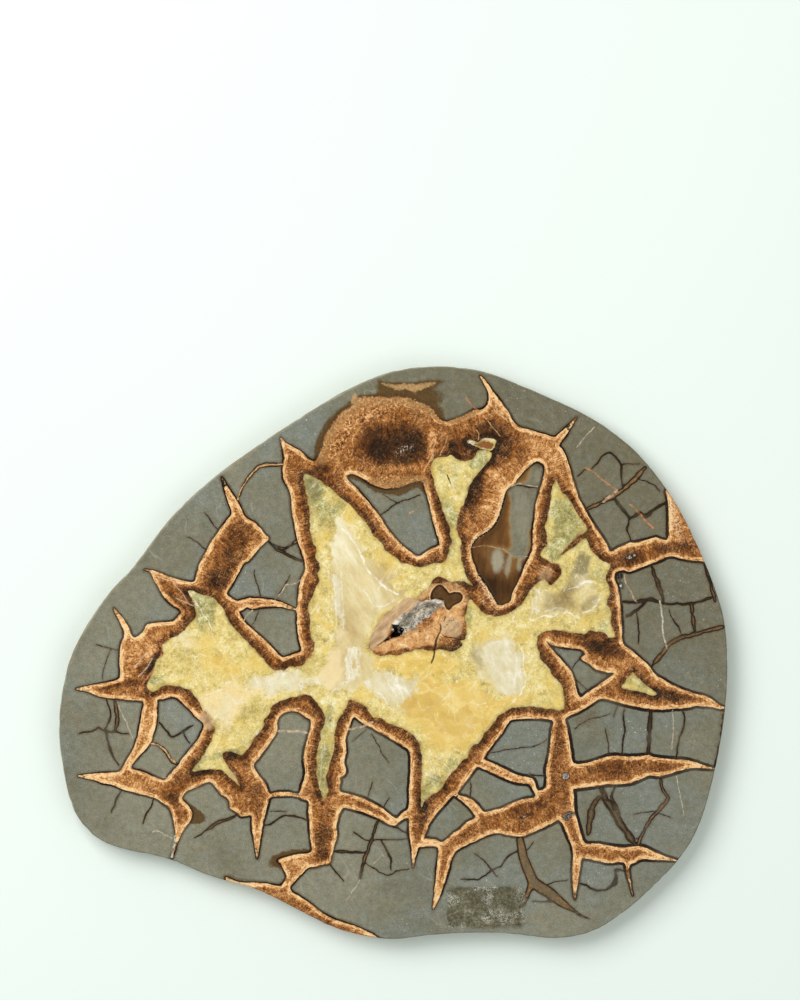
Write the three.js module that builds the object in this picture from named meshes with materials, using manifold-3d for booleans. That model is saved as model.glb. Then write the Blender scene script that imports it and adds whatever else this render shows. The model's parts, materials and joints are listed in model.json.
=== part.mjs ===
// A polished slice of a septarian nodule, one natural stone sawn flat on both sides.
// Millimetres, +Z up. The slice lies on its sawn back with the polished face upwards:
// +X runs to the right across the face, +Y towards the top of the face.

import * as THREE from 'three';
import { mergeVertices } from 'three/addons/utils/BufferGeometryUtils.js';
import Module from 'manifold-3d';

// Driving dimensions.
const sliceWidth = 280;
const sliceHeight = 240;
const sliceThickness = 12;

// The rim is the nodule's own skin: its belly is the outline, and it draws in towards both faces.
const bellyHeight = 6.5;
const faceSetBack = 0.9;
const backSetBack = 2.2;
const arrisHeight = 0.5;
const arrisWidth = 0.5;
const rimSegments = 132;

// The open pocket at the middle of the crystal filling.
const vugDepth = 5.5;
const vugFloorShare = 0.55;
const cutterOvershoot = 1;

// The outline of the rim's belly, clockwise from the top, about the middle of the slice.
const bellyOutline = [
  [0, 118], [20, 120], [37, 118], [51, 113], [65, 107], [78, 101], [92, 92.5], [104, 82],
  [115, 68], [122, 56.5], [129, 42], [134, 30], [138, 18], [140, 6], [140, -18], [136, -46],
  [128, -74], [120, -87], [102, -105], [90.5, -113.5], [83, -117.5], [74, -119.5], [66, -120],
  [49, -118], [30, -117.5], [14, -118.5], [0, -120], [-10, -119], [-25, -115], [-40, -107.5],
  [-58, -98.5], [-77, -93], [-95, -85.5], [-113, -81.5], [-122.5, -78], [-129, -72.5],
  [-134, -65], [-137, -54.5], [-140, -31], [-137, -8], [-133, 3.5], [-121, 23], [-108, 37.5],
  [-93.5, 56.5], [-76, 73], [-56, 87.5], [-38.5, 99], [-19, 110.5],
];

// The mouth of the pocket, clockwise from its left end.
const vugMouth = [
  [-2.7, 5.7], [-1.5, 9], [1, 12.4], [4, 15.8], [7.4, 18.7], [11.1, 20.8], [14.1, 22.5],
  [16.6, 22], [19.5, 20.8], [21.6, 18.7], [21.2, 15.8], [19.5, 13.2], [16.6, 11.6], [14.1, 10.7],
  [9.9, 9.9], [7.4, 8.6], [4, 7.4], [0.6, 6.5],
];

// Runs a smooth closed curve through the outline and fits it to the slice's width and height.
function fittedBelly() {
  const corners = bellyOutline.map(([x, y]) => new THREE.Vector3(x, y, 0));
  const curve = new THREE.CatmullRomCurve3(corners, true, 'centripetal');
  const points = curve.getSpacedPoints(rimSegments).slice(0, rimSegments);
  const box = new THREE.Box3().setFromPoints(points);
  const middle = box.getCenter(new THREE.Vector3());
  const extent = box.getSize(new THREE.Vector3());
  return points.map((point) => new THREE.Vector2(
    (point.x - middle.x) * sliceWidth / extent.x,
    (point.y - middle.y) * sliceHeight / extent.y,
  ));
}

// Moves each point of a clockwise ring towards the inside by the same distance.
function setBack(ring, distance) {
  return ring.map((point, i) => {
    const before = ring[(i + ring.length - 1) % ring.length];
    const after = ring[(i + 1) % ring.length];
    const along = after.clone().sub(before).normalize();
    return new THREE.Vector2(point.x + along.y * distance, point.y - along.x * distance);
  });
}

// Stacks rings with the same number of points, from the lowest up, and caps both ends.
// The rings run clockwise as seen from above.
function stackedSolid(levels) {
  const count = levels[0].ring.length;
  const positions = levels.flatMap(({ ring, z }) => ring.flatMap((point) => [point.x, point.y, z]));
  const indices = [];
  for (let level = 0; level + 1 < levels.length; level += 1) {
    for (let i = 0; i < count; i += 1) {
      const low = level * count + i;
      const lowNext = level * count + (i + 1) % count;
      indices.push(low, low + count, lowNext + count);
      indices.push(low, lowNext + count, lowNext);
    }
  }
  const top = (levels.length - 1) * count;
  const bottomRing = levels[0].ring;
  const topRing = levels[levels.length - 1].ring;
  for (const [a, b, c] of orientedCap(bottomRing, false)) {
    indices.push(a, b, c);
  }
  for (const [a, b, c] of orientedCap(topRing, true)) {
    indices.push(top + a, top + b, top + c);
  }
  const geometry = new THREE.BufferGeometry();
  geometry.setAttribute('position', new THREE.Float32BufferAttribute(positions, 3));
  geometry.setIndex(indices);
  return geometry;
}

// Triangulates a ring, with every triangle facing up or every one facing down.
function orientedCap(ring, facesUp) {
  return THREE.ShapeUtils.triangulateShape(ring, []).map(([a, b, c]) => {
    const area = THREE.ShapeUtils.area([ring[a], ring[b], ring[c]]);
    return (area > 0) === facesUp ? [a, b, c] : [a, c, b];
  });
}

// The stone before the pocket: back, skin, eased arris and polished face.
function stoneGeometry() {
  const belly = fittedBelly();
  const skinTop = sliceThickness - arrisHeight;
  return stackedSolid([
    { ring: setBack(belly, backSetBack), z: 0 },
    { ring: setBack(belly, backSetBack * 0.45), z: bellyHeight * 0.3 },
    { ring: setBack(belly, backSetBack * 0.1), z: bellyHeight * 0.7 },
    { ring: belly, z: bellyHeight },
    { ring: setBack(belly, faceSetBack * 0.15), z: (bellyHeight + skinTop) / 2 },
    { ring: setBack(belly, faceSetBack - arrisWidth), z: skinTop },
    { ring: setBack(belly, faceSetBack), z: sliceThickness },
  ]);
}

// The pocket, wide at its mouth and narrow at its floor.
function vugGeometry() {
  const mouth = vugMouth.map(([x, y]) => new THREE.Vector2(x, y));
  const middle = mouth.reduce((sum, point) => sum.add(point), new THREE.Vector2()).divideScalar(mouth.length);
  const ringAt = (share) => mouth.map((point) => middle.clone().lerp(point, share));
  const growthPerMillimetre = (1 - vugFloorShare) / vugDepth;
  return stackedSolid([
    { ring: ringAt(vugFloorShare), z: sliceThickness - vugDepth },
    { ring: ringAt(1 + growthPerMillimetre * cutterOvershoot), z: sliceThickness + cutterOvershoot },
  ]);
}

const wasm = await Module();
wasm.setup();

function toManifold(geometry) {
  const merged = mergeVertices(geometry, 1e-4);
  return new wasm.Manifold(new wasm.Mesh({
    numProp: 3,
    vertProperties: new Float32Array(merged.attributes.position.array),
    triVerts: new Uint32Array(merged.index.array),
  }));
}

function toGeometry(manifold) {
  const { vertProperties, triVerts } = manifold.getMesh();
  const geometry = new THREE.BufferGeometry();
  geometry.setAttribute('position', new THREE.Float32BufferAttribute(vertProperties, 3));
  geometry.setIndex(Array.from(triVerts));
  geometry.computeVertexNormals();
  return geometry;
}

function septarianSlice() {
  const stone = toManifold(stoneGeometry()).subtract(toManifold(vugGeometry()));
  const material = new THREE.MeshStandardMaterial({ color: 0x77746a, roughness: 0.3, metalness: 0 });
  const mesh = new THREE.Mesh(toGeometry(stone), material);
  mesh.name = 'septarian_slice';
  return mesh;
}

const group = new THREE.Group();
group.add(septarianSlice());

export default group;
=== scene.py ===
import json
import math
import random

import bpy
import numpy as np
from mathutils import Matrix, Vector, noise
from mathutils.geometry import delaunay_2d_cdt
from mathutils.kdtree import KDTree

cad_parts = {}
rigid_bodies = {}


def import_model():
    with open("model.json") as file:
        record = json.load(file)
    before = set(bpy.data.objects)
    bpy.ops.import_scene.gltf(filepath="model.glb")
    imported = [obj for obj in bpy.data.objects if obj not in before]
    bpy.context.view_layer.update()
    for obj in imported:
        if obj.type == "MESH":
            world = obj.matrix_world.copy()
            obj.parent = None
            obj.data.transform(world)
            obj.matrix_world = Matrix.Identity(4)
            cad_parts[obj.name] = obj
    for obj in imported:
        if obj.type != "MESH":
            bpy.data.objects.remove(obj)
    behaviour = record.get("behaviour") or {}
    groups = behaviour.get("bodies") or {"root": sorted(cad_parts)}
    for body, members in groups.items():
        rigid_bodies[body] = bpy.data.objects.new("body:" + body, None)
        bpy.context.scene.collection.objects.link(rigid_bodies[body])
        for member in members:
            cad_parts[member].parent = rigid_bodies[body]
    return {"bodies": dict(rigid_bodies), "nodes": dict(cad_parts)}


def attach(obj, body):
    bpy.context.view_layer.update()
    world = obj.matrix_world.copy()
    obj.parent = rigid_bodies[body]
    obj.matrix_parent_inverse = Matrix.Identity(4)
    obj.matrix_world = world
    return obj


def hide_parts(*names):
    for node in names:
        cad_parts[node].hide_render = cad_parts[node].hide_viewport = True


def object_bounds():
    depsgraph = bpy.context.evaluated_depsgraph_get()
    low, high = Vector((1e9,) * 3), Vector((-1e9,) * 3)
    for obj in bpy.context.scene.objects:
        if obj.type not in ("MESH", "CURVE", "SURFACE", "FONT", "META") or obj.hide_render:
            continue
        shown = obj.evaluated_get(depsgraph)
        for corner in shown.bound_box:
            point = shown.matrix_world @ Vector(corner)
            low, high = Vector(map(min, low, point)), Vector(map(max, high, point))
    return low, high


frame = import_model()
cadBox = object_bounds()
bpy.context.scene.view_settings.view_transform = "Standard"
mm = 0.001
sliceNode = "septarian_slice"
bodyName = next(iter(frame["bodies"]))

# The face is drawn in small squares: x to the right, y down, as on squared paper.
paper = {
    "acrossSquares": 667.0,  # squares over the whole width of the polished face
    "middle": (394.5, 654.5),  # the square that lies on the frame's origin
    "faceSetBack": 0.9 * mm,  # how far the skin's belly stands out past the face
}
faceTop = cadBox[1].z
square = (cadBox[1].x - cadBox[0].x - 2 * paper["faceSetBack"]) / paper["acrossSquares"]
drawingUnit = square / mm  # millimetres in a square


def toMetres(squares):
    squares = np.asarray(squares, float)
    return np.column_stack([
        (squares[:, 0] - paper["middle"][0]) * square,
        (paper["middle"][1] - squares[:, 1]) * square,
    ])


def toSquares(metres):
    metres = np.asarray(metres, float)
    return np.column_stack([
        metres[:, 0] / square + paper["middle"][0],
        paper["middle"][1] - metres[:, 1] / square,
    ])


def rowsOf(text):
    # rows of two numbers and a route or outline; a line that starts with spaces goes on with the one before
    lines = text.strip().replace("\n  ", " ").split("\n")
    return [(float(width), float(tone), route) for width, tone, route in (line.split(None, 2) for line in lines)]


# The vein network's outer wall, clockwise. Past the rim its points are only a way round.
veinOutline = """
480,376 484,379 488,384 492,390 500,400.5 508,411.5 511,417 514,422.5 518,426 530,430 544,434 555,437 560,433
566,428 572,422.5 577,418 574,423 568,433 561,443 559.5,445.5 563,450 566,456 568,462 571,470 573.5,480
576.5,490 580,500 585.5,509.5 591,520 599,532 607,544 609,549 611,552 613.5,552 616,550 621,547.5 631,543
634,543.5 638,543 648,540.5 657,538 662,540 668.5,540.5 669.5,536 669.5,518 669,503 667,490 700,500 722,566
704,562.5 690,561 682,559.5 672,557 668,558 658,562.5 646,567 634,571.5 630,572.5 623,571 618,572.5 615.5,576
616,581 618,586 619.5,592 621,603 622,617 623,631 623,640 624.5,645 631,650.5 640,658 649,666 651.5,669 655,674
659,678 664,680.5 673,686 685,691 697,695.5 702,696.5 707,698 712,700.5 717,704 722,707.5 730,711 724,711.3
712,708.5 705,708 700,707.5 690,709.5 676,710.5 660,711.5 646,710 626,706 612,702 606,700.5 601,700.5 592,706
580,713 569,718 566.5,720 568,730 570,741 572,754 574,764 577,765.5 590,764 604,759.5 611,758 617,757.5
630,758.5 643,758 650.5,757 653,758.5 664,760.5 678,761.5 690,762.5 701,766 711,769.5 718,771.2 705,770.5
692,770.5 680,773.5 668,777 663,778.5 657,778.5 652,777.5 643,781 630,785.5 616,786.5 604,787 591,789 578,790.5
574.5,791 575,800 575.5,812 577.5,820 582,836 583.5,841 585.5,845 588,846 600,846 612,848.5 625,850 637,849
641,849 646,850 657,855 668,860 681,864 670,863.3 652,862.5 645,862 641,863 637,865.5 632,867 630.5,870
631.5,883 634,898.5 631,886 629,879 627.5,872 626,866 622,865 611,866 598,863.5 586,861 583,861.5 581.5,870
579.5,880 578,890 576,902 574,888 573.5,868 574,856 573,850 568.5,838.5 562,824 559.5,822 551,826.5 540,831.5
528,837 523,838.5 518,838.5 509,837.5 497,835 487,837.5 477,842.5 467,847 458,851.5 455,854.5 452.5,859 449,871
445.5,882 441,895 433.5,911.5 434.5,896 436,882 437,868 438.5,852 438,849.5 434,848 423,848.5 419,849 416,857
413,869 412,858 411.5,850 409,835 408.3,820 405,820 401,822 397,825.5 394,827 390,826 384,823 378,819.5 372,817
362,813 350,810 343,808.5 340.5,813 336.3,826 337,836 334,848 331,859 330.5,862 328,865.5 323,866 317,867.5
307,869.5 303,873.5 295,881.5 290,888.5 291,892.5 299,897.5 309,904 320,913 333,920.5 347,925 360,930 374,937
384,945 330,950 250,915 225,878 237,882.5 253,883.5 269,885 280,887 284.5,881 286,877.5 284.5,873 279.5,864
277,861.5 283,858.5 295,855.5 311,852 310,840 308.5,819 308,812 308.5,806 308,802 302,799.5 297,797.5 284,796.5
271,797.5 269,799 267,807 264,818 261.5,831 259.5,845 256.5,859 254,844 251.5,829 250.5,816 246,816.5 240,817
237.5,814 233,811 229.5,808.5 229,804 228,800 225,797.5 221,795 217.5,790.5 212,783.5 210,782 206,782.5
195,787.5 185,792.5 182.5,796 181.5,798.5 187,805 190,809 191.5,813 191,818 189,822 183,830.5 178.5,839
175.5,847 171,859 174,846 175.5,838 174,826 173,820 170,810 167,806.5 159.5,801 157,799 151,797 140,794 122,789
114,785.5 102,782.5 92,779 78,775.5 90,773.5 104,772.5 117,771.5 120.5,770 126,760 131,752 136,741 138.5,729
141,715 143,702 140,700.5 128,699.5 115,698 105,697 96,694.5 88,691 76,688 88,685.5 100,683 117,679 119.5,677
119.5,662 120,648 121,643 124,635.5 124,631 121,623 117.5,616 114,608 119.5,613.5 126,622 130,630 131.5,634.5
133.5,636.5 137,636 143,631 147,624 150,623 162,621.5 172,621 179,614.5 181,612.5 179,609 171,603.5 163.5,595.5
157.5,585 152,575 150,571 144.5,569 157,571 169,576 181,579.5 192,581.5 194.5,581 197,571 201,560 206,551.5
211.5,541 218,532 225,522 231,514.5 231.5,511.5 228,501.5 224.5,489 222,477 227,485 233,494 236,498.5 240,506
245,515.5 248,518.5 252,520.5 256,523.5 264,532.5 269,538.5 266,541.5 260,547 251,558 247.5,561 244,562.5
242.5,565.5 235,578.5 228,591 226.5,593.5 233.5,599 236.5,600.5 240,600 248,597.5 258,598 269,599 280,601.5
290,606 296,608.5 298,598 299,586 300,581.5 304,573 305,568 303,557 297.5,540 295.5,530 292,511 291,498 290,492
288,487 283.5,479 283,474 282.5,469 283.5,462 284.5,458 283.5,453 281,437.5 284,441 288,444 296,448 300,450.5
308,458 312,460.5 315,461 318,456.5 320.5,451 324,439 330,427 339,415 344,410.5 350,407.5 355,404 358,400
360,397.5 374,397 390,397.5 406,397.5 412,399 418,402 424,404 430,407 434,412 438,417.5 442,420.5 446,421.5
455,419 465,415 475,410 480,409.5 484,408 487,405 488.5,400 488.5,394 486.5,388 483.5,382.5"""

# Blocks of limestone that the network closes round.
islands = {
    "upper": """
347,475 352,474 358,475.5 364,479 370,483 376,486 383,488 390,488.5 398,487.5 406,485 413,482.5 419,481
422.5,482.5 424.5,488 428.5,501 431.5,515 436,532 439.5,542 439,545 431,549 423,554 420,556 417.5,556 410,551.5
402,545 394,536.5 386,526.5 379.5,515.5 372,506 364,497 356,487.5 348,480""",
    "amber": """
529,467 533,463.5 537,461.5 541,463 544,466 545,470 543,480 539.5,492 536.5,503 535,514 534.5,520 533,531
532.5,550 528,560 523.5,570 519.5,580 514.5,590 512.5,595 511.5,600 509.5,603 501,606 497.5,605.5 495,600.5
490,592 484.5,583.5 478.5,575 474.5,565 472.5,560.5 471,550 472,546 477,538.5 485,533 493,526.5 498.5,517
502,506 505,494.5 508,489 512,486 515,484.5 517,480.5 524,472""",
    "twin": """
547.5,642.5 550,644.5 554,646.5 566,648.5 578,650 582,651 585.5,653.5 585.5,656 581.5,659.5 588,664 596,670
601,672 607,673.5 615,674.5 607,681 597,688 588,694 581,698.5 578.5,695 577,690 575,680 569.5,669 562,661
554,652""",
    "house": """
512,721.5 552,721.5 554,723.5 552.5,730 550.5,750 549,760 546.5,770 547,775 546,789 543,791.5 539.5,792 537,789
534.5,781.5 531,779.5 518,776.5 505,770 491,763.5 484.5,760 487,755 494,745 502,735 509,724""",
    "below": """
478,768.5 483,770 497,776.5 511,782.5 518,784.5 524,785 530,786 532,789 536,798.5 527,800.5 521,801.5 509,806.5
503,809.5 491,812.5 485,813.5 479,807.5 473,801.5 467,798.5 458,795 463,787 470,778 475.5,770""",
    "kite": """
456,798 461,801.5 470,810 474,815 475.5,819 466,824.5 459,831.5 455,833.5 448,840 444,843 441,843.5 437,841.5
428,840 424.5,840.5 427.5,831 428.5,827 434.5,818.5 446,804.5 454,797""",
    "tall": """
353.5,718 363,724 376,731 390,739 403,747 408,750 410,755 410,775 409,793 409,806 407.5,811 403,813.5
396.5,819.5 393,818 383,810 371,803 364,799.5 350,795 340,792 339.5,787 341,782 340,778.5 343,777 346,772
344,763 346,753 345.5,741 348,731 350,726""",
    "lantern": """
279,717 283,714 288,712 294,711.5 299,713 304,716.5 310.5,721.5 309.5,730 308,736 305,748 303.5,761 305,774
301.5,786 298.5,794 294,794 288,792.5 275,793 270,794 265,784 253.5,766 260,756.5 276,733.5 277.5,729 277,724""",
    "shield": """
157.5,699 162,699 172,696.5 176,697.5 183,703.5 195,716 203,724 202.5,728 198.5,738 191.5,747 180,761 178.5,764
171,772 165,779.5 162.5,779.5 152,775.5 140,770.5 131,767.5 137,758 149,744.5 153.5,733 156.5,721 157,706""",
    "wedge": """
239.5,611.5 243,609.5 247,607 251,608.5 267,606.5 280,606.5 286,608 295,610 296.5,613 297,627 299,641 301,648
300.5,651 296,653 283,657 280.5,656 269,644 256,632 245,622 241,615""",
}

# The clear yellow filling, with its pockets.
calcite = {
    "heart": """
304,474 308,474.5 313,476 323,482.5 333,490.5 343,499 348,502.5 356,511 363.5,519.5 370,528.5 372.5,533
376,537.5 380,541 383,545 385,549.5 393,555 401,562 406,563.5 416,566 421,567 426,566.5 431,564 436,563
441,563.5 445,561 447.5,556.5 450,546.5 452,543 450,534 450.5,530 447,521 443,511 441,506 439.5,500 436,491
434.5,486 434,481 431,470 431,465 432.5,461.5 436,458.5 446,456.5 450,455 454,457 458,459.5 463,460.5 468,460.5
472,459.5 475,456 477,452 482,450.5 488,450.5 491.5,452.5 491.5,456 487,464 479.5,472 473,480 468.5,488.5
467.5,494 466,500 460.5,510 458,520 457,531 461,541 461,553 463.5,566 467.5,578 472.5,586.5 468,584.5 463,582
457,581.5 451,582.5 446,579.5 440,577 435,579 432,583 429,588 424,592 419,597 415,600 404,603.5 400,607.5
395,611.5 389,613 384,616 382,620 377,626 373,634 371,641 369,648 374,653.5 380,656 388,655 396,655.5 402,654.5
408,652 415,650.5 421,649.5 428,650.5 434,651 440,649.5 446,651.5 452,652 458,650 463,645 460,641.5 465,640
466.5,634 466,626 465.5,618 467,606 468.5,601.5 471,599.5 475,604 479,608 483,612.5 488,615 498,616.5 504,615.5
515,610 519,607 525,600 530,592 537,584 541,581 545,580 549,583.5 551,586 557,580.5 562,573 560.5,568.5 558,565
550,563 547,560.5 543,558.5 541,556 542.5,551 547,545 546.5,535 545.5,526 548.5,515 551,501 551,494 552.5,488
556.5,480 559,483 561,488 563,493.5 566,494 571,502 579,515 588,530 584,533.5 579,536 574,541 565,551 560.5,556
566,553 576,546 587,539 590.5,548 597,556.5 604,561.5 611,565.5 611,569 608,573 606.5,578 610,588 611,594
608.5,605 613,615 611.5,620 612,625 616,635 614,639 611,639.5 604,633.5 594,632 589,632.5 584,635 572,634
555,631 549,632 543,634 539,636.5 537.5,640 540,656 542,661 549,668 554,677 558,681 564,690 565,696 565.5,707
563,711 559,712 546,710 531,708.5 515,709 508,711.5 503,714.5 499,716.5 492,727 485,735 479,744.5 475,746
471,749.5 467.5,758.5 463,761.5 457.5,768.5 448,779 442,789 437,794 431,797.5 424,804 421.5,808.5 421,797
421.5,779 422,760 420,748 417,740 410,733.5 400,728.5 390,724.5 385,721 380,718.5 373,718 367,709.5 358,703
349,700.5 347,706 341,716 338.5,720 335,733 334,747 331,760 327.5,772 326,778 328,790 326,797 324,800 319.5,790
316.5,777 316.5,757 320,738 321,731 324,725 325,719 322.5,713 316.5,703 310,696 306,694.5 302,695 298,697
288,698.5 278,702 270.5,708 270,712 264,720 264,726 256,736 249,748 244,753 240,755.5 234,752.5 228,752
223.5,753 222,756 226,764 235,778 240,786.5 236,784 226,774.5 221,770.5 214,769.5 200,770.5 194,771.5 191,770.5
198,762 205,751 211.5,739 214,727 212,724 209,720 207,714 204.5,710.5 202,710 200.5,705 190,691 185,688
174,685.5 162,686 158,689 153,691 149,689.5 146,686 150,677 154,666 156,661 160,657 163,654 162,646 164,641
168,639 178,634.5 186,627.5 190,623 194,618.5 195.5,614 195,608 190.5,597 189,590 194,591 204,594.5 213,597
220,604 228.5,619 231,624 240,634 248,642.5 256,650.5 270.5,667.5 274,670 280,670 285,669.5 289,667 301,665
308,658 313.5,649.5 314.5,645 310.5,636 310,622 309.5,615 307,609 311,599 315,590 319,580 317,573 320,569
319.5,565 315,557 316,547.5 313,543 311,537 310,530 309.5,522 309,508 306,494 304,481""",
    "tip": """
634,673 638,678 646,685 654,691.5 658,695 655,697 650,696 638,692.5 625,690.5 622,689 624,685 630,678""",
    "splinter": """
467,442 470,440 478,441 482,439 492,438.5 497,440.5 495,445 494,449 490,450.5 486,450.5 477,447 469,443.5""",
}

# Cracks: width in squares, tone of the core (0 dark brown, 1 tan, -1 open, across a vein or the filling), route.
cracks = rowsOf("""
1.44 0 578,477 582,473 586,470
1.6 0 592,470 595,466 599,462 602,458 605,455 610,452.5 613,455 617,458.5 620,462 622,466 622,478 623,483
  622.5,486
3.2 0.1 614,497 618,503 622,508 626,513 630,518
1.6 0 630,518 628.5,526 628,532 630.5,537.5 632.5,541.5
3.4 0.15 629.5,519.5 635,516.9 641.3,513.8 646,517 651.5,512.8 657.7,508.7 663.8,504.6 668,502
3.22 0.15 668,495 668.5,538
0.96 0 639,480 647,482 653.6,485 657.7,488 661,492
0.8 0 624,465 640,464.5
1.04 0 380,516 388,510 394,505 400,501.5 412,498.5 420,495
0.56 0 383,494 389,498 399,503.5
1.04 0 204.7,512 208.8,518 214.5,525.4 218.3,529.5
1.04 0 187.3,536 193.5,539.7 198.6,543.3 206.8,549.5
0.96 0 96,643.8 104,646 112.4,648 119.6,650
0.8 0 110,650 107.8,656 105.3,663.3 102.7,670.5 102.4,678.7
2 0.1 106.3,699 108.8,706.4 110.9,713.6 109.4,719.7 105.3,728
1.6 0 78.6,732.4 87.8,731.5 93,730 98,727 103.2,729.5 112.4,731.5 128.8,733.6
1.44 0 120.6,790.5 115.5,800.8 112.9,807.9 110.9,812.6
1.44 0 154,798 152,803 149.9,808.5 146.3,813.6 143.7,819.7 142.7,823.8
2 0 159,722 163,727 167,732 170,735.5 173,736 178,733.5 183,731 188,728 193,725
1.6 0 183,731 185,736 187,740 190,743.5
0.8 0 254,569 254.5,576 256,582 258.5,587 260.5,597
0.8 0 290,575 286,583 281,590 276,598
0.8 0 252,624 255,620 257,615 258,611
0.56 0 371,734 376,742 381,752 389,764
0.56 0 352,742 366,731
1.04 0 368,798 370,791 373,783
1.2 0 384,808 387,803 389,799
1.6 0.1 383,822 389,825 400,831 408,835
0.88 0 366,865 371,868 376,871 384,876 388,877 392,875.5 397,873 403,871.5 410,871
1.2 0 471,784 471,790 470.5,798
0.64 0 491,755 500,752 520,749.5 537,747 548,741
1.2 0 530,775 535,777 546,777
1.44 0 460.8,881.3 478,881.3 483.3,879 489.5,875 495.6,871 501.8,868 505.9,861.8 510,857.7 516.7,853.6
0.96 0 475,855.6 482,861 487.4,866 493.6,874 498,879
1.2 0 529,851 534,844
1.04 0 533,904 552,905
0.96 0 548,887 556.7,884.4 569,882.8
1.04 0 577,681 580,684 584,687 588,691
0.96 0 606.4,730 608,740 609.5,748.5 610,756.7
0.96 0 618.7,707.4 615,718.7
1.6 0 625.4,711.5 624.4,720.8 626.4,731 624.4,740 623.8,748.5 623.3,757.7
4 0.15 652,711 651.5,721 650.5,732 650.5,742 649.5,757.5
0.56 0 575,730 588,722 603,718 612,715
2.8 0.2 624,603 640,603 645,602 650,601 655,602 660,603.5 672,605 688,605 694,604 700,603 707,601 717,597
0.96 0 640,601 646,599.5 652,599 658,601
1.2 0 637.7,612.6 638.7,621.8 639.5,639 639,644.4
1.28 0 670.5,610.5 672,616.7 676.2,623.8 680.3,630 682.3,634
0.64 0 270,812 287,811.5
0.8 0 634,817 641,815.5 656,814
0.8 0 662,816 672,820
1.28 0 573,669 581,659
3.2 0.5 268,541 272,545 277,549 283,552.5 290,556 297,559 303,561
4.6 0.55 587,511 596,505.5 604,502 611,498 619,493.5 628,486 636,479.5 646,468
3.68 0.3 652,566 654,572 656,578 659,584 661,590 665,602
3.68 0.5 692,604 693,610 694,617 695,624 696,632
3.22 0.35 627.9,617.7 635,612.6 640,609.5 645.4,604.4
4.6 0.5 653,668 657,663 661,658 665,653 668,649 672,645 677,641.5 683,639 697,635.5 711,631.5 727,627.5
3.68 0.45 114.5,699 116,706 116.5,714 117,722 115,730
2 0.3 105.3,733 108.3,742 111,750.5 113.5,757.7 118.6,765
3.4 0.8 150,743 156,744 161,747 165,751 168,756 171,760 178,765
3.5 0.5 237,815 230,818.5 223,821 216,824 210,827.5 205,831
1.76 0.4 205,831 200,835 194,838.5
1.6 0.3 263.5,825.4 270.6,825 275.8,821 281,817.2 290,816.5 297.3,817.7 307,821
3.22 0.5 379,821 376,827 374,833 372,839 370,845 368,851 366,857 364,863 362,869 360,880
2.76 0.35 334,852 350,853 364,854
1.2 0.2 353,833 358,836.5 363,840 368,841
1.2 0.2 374,841 390,841 408,840.5
1.76 0.2 381,842 384,847 387,853 390,859 391,866 391.5,871
1.6 0.75 684,713 686,720 685,728 683,735 681,742 679,750 678,764
3.6 0.6 662,780 663,786 664,792 667,797 670,800 668,804 664,808 661,812 657,816 653,821 649,827 645,834 642,841
  640,848
6.8 0.2 602,790 605,797 607,803 611,809 615,814 618,819 621,825 626,832 630,838 634,844 638,849
3.2 0.55 616,789 614,795 613,800 616,805 618,810 620,816 621,822 624,826 628,831
6 0.4 601,799 596,804 593,812 591,821 590,829 589,837
2.08 0.25 581,886 587,888 592,891 598,893 604,893.5 610,891 614,887 617,881 617.5,873 627,874.5
3.4 0.5 706,566 711,582 717,603
2 0.4 725,714 721,742 716,771
1.28 0.1 329,865 334,871 339,877 344,883
4.2 0.85 283,464 271,464.5 260,466 252.5,472.5 247,480
2.6 0.8 249,476 243,486 238.5,498
1.76 -1 440,625 440.5,630 439,635 436.5,640 435.5,646 434.5,652 433,658 431.5,664
0.96 -1 446,617 445,620 444,622
1.3 -1 377,647 381,643.5 386,639 391,636
0.72 -1 443,636 450,638 462,640 466,639
1.1 -1 447,475 449,480 451,484
1.2 0 517,485.5 523,486 530,487.5 538.5,489
""")
# Broader seams in the limestone: tone of the core, outline.
lodes = [
    (0.52, """517.5,838 518,852 519,859 521,866 523,872 525.5,878 528,885 527.5,890 525.5,896 523,902 519.5,911
514.5,922 519,918 523,912 526.5,907 529.5,901 532,895 534,892 538,895 545,899 550,902.5 560,909 566,912 571,914
576,916 580,919 591,922 583,918 577,913 572,908.5 567,903.5 561,898 556,893 551,889 547,886.5 543,884
539.5,881.5 537,878 535,873 533,869 531,864 528.5,858 527,851 525.5,845 523,838.5"""),
    (0.3, "617,874 619,880 618,888 609,890 614,886"),
    (0.9, """272,543 280,546 284,547 288,545 293,541.5 297,538 299,542 297,543.5 291,546 286,549.5 283,550.5
277,547.5"""),
]
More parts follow.
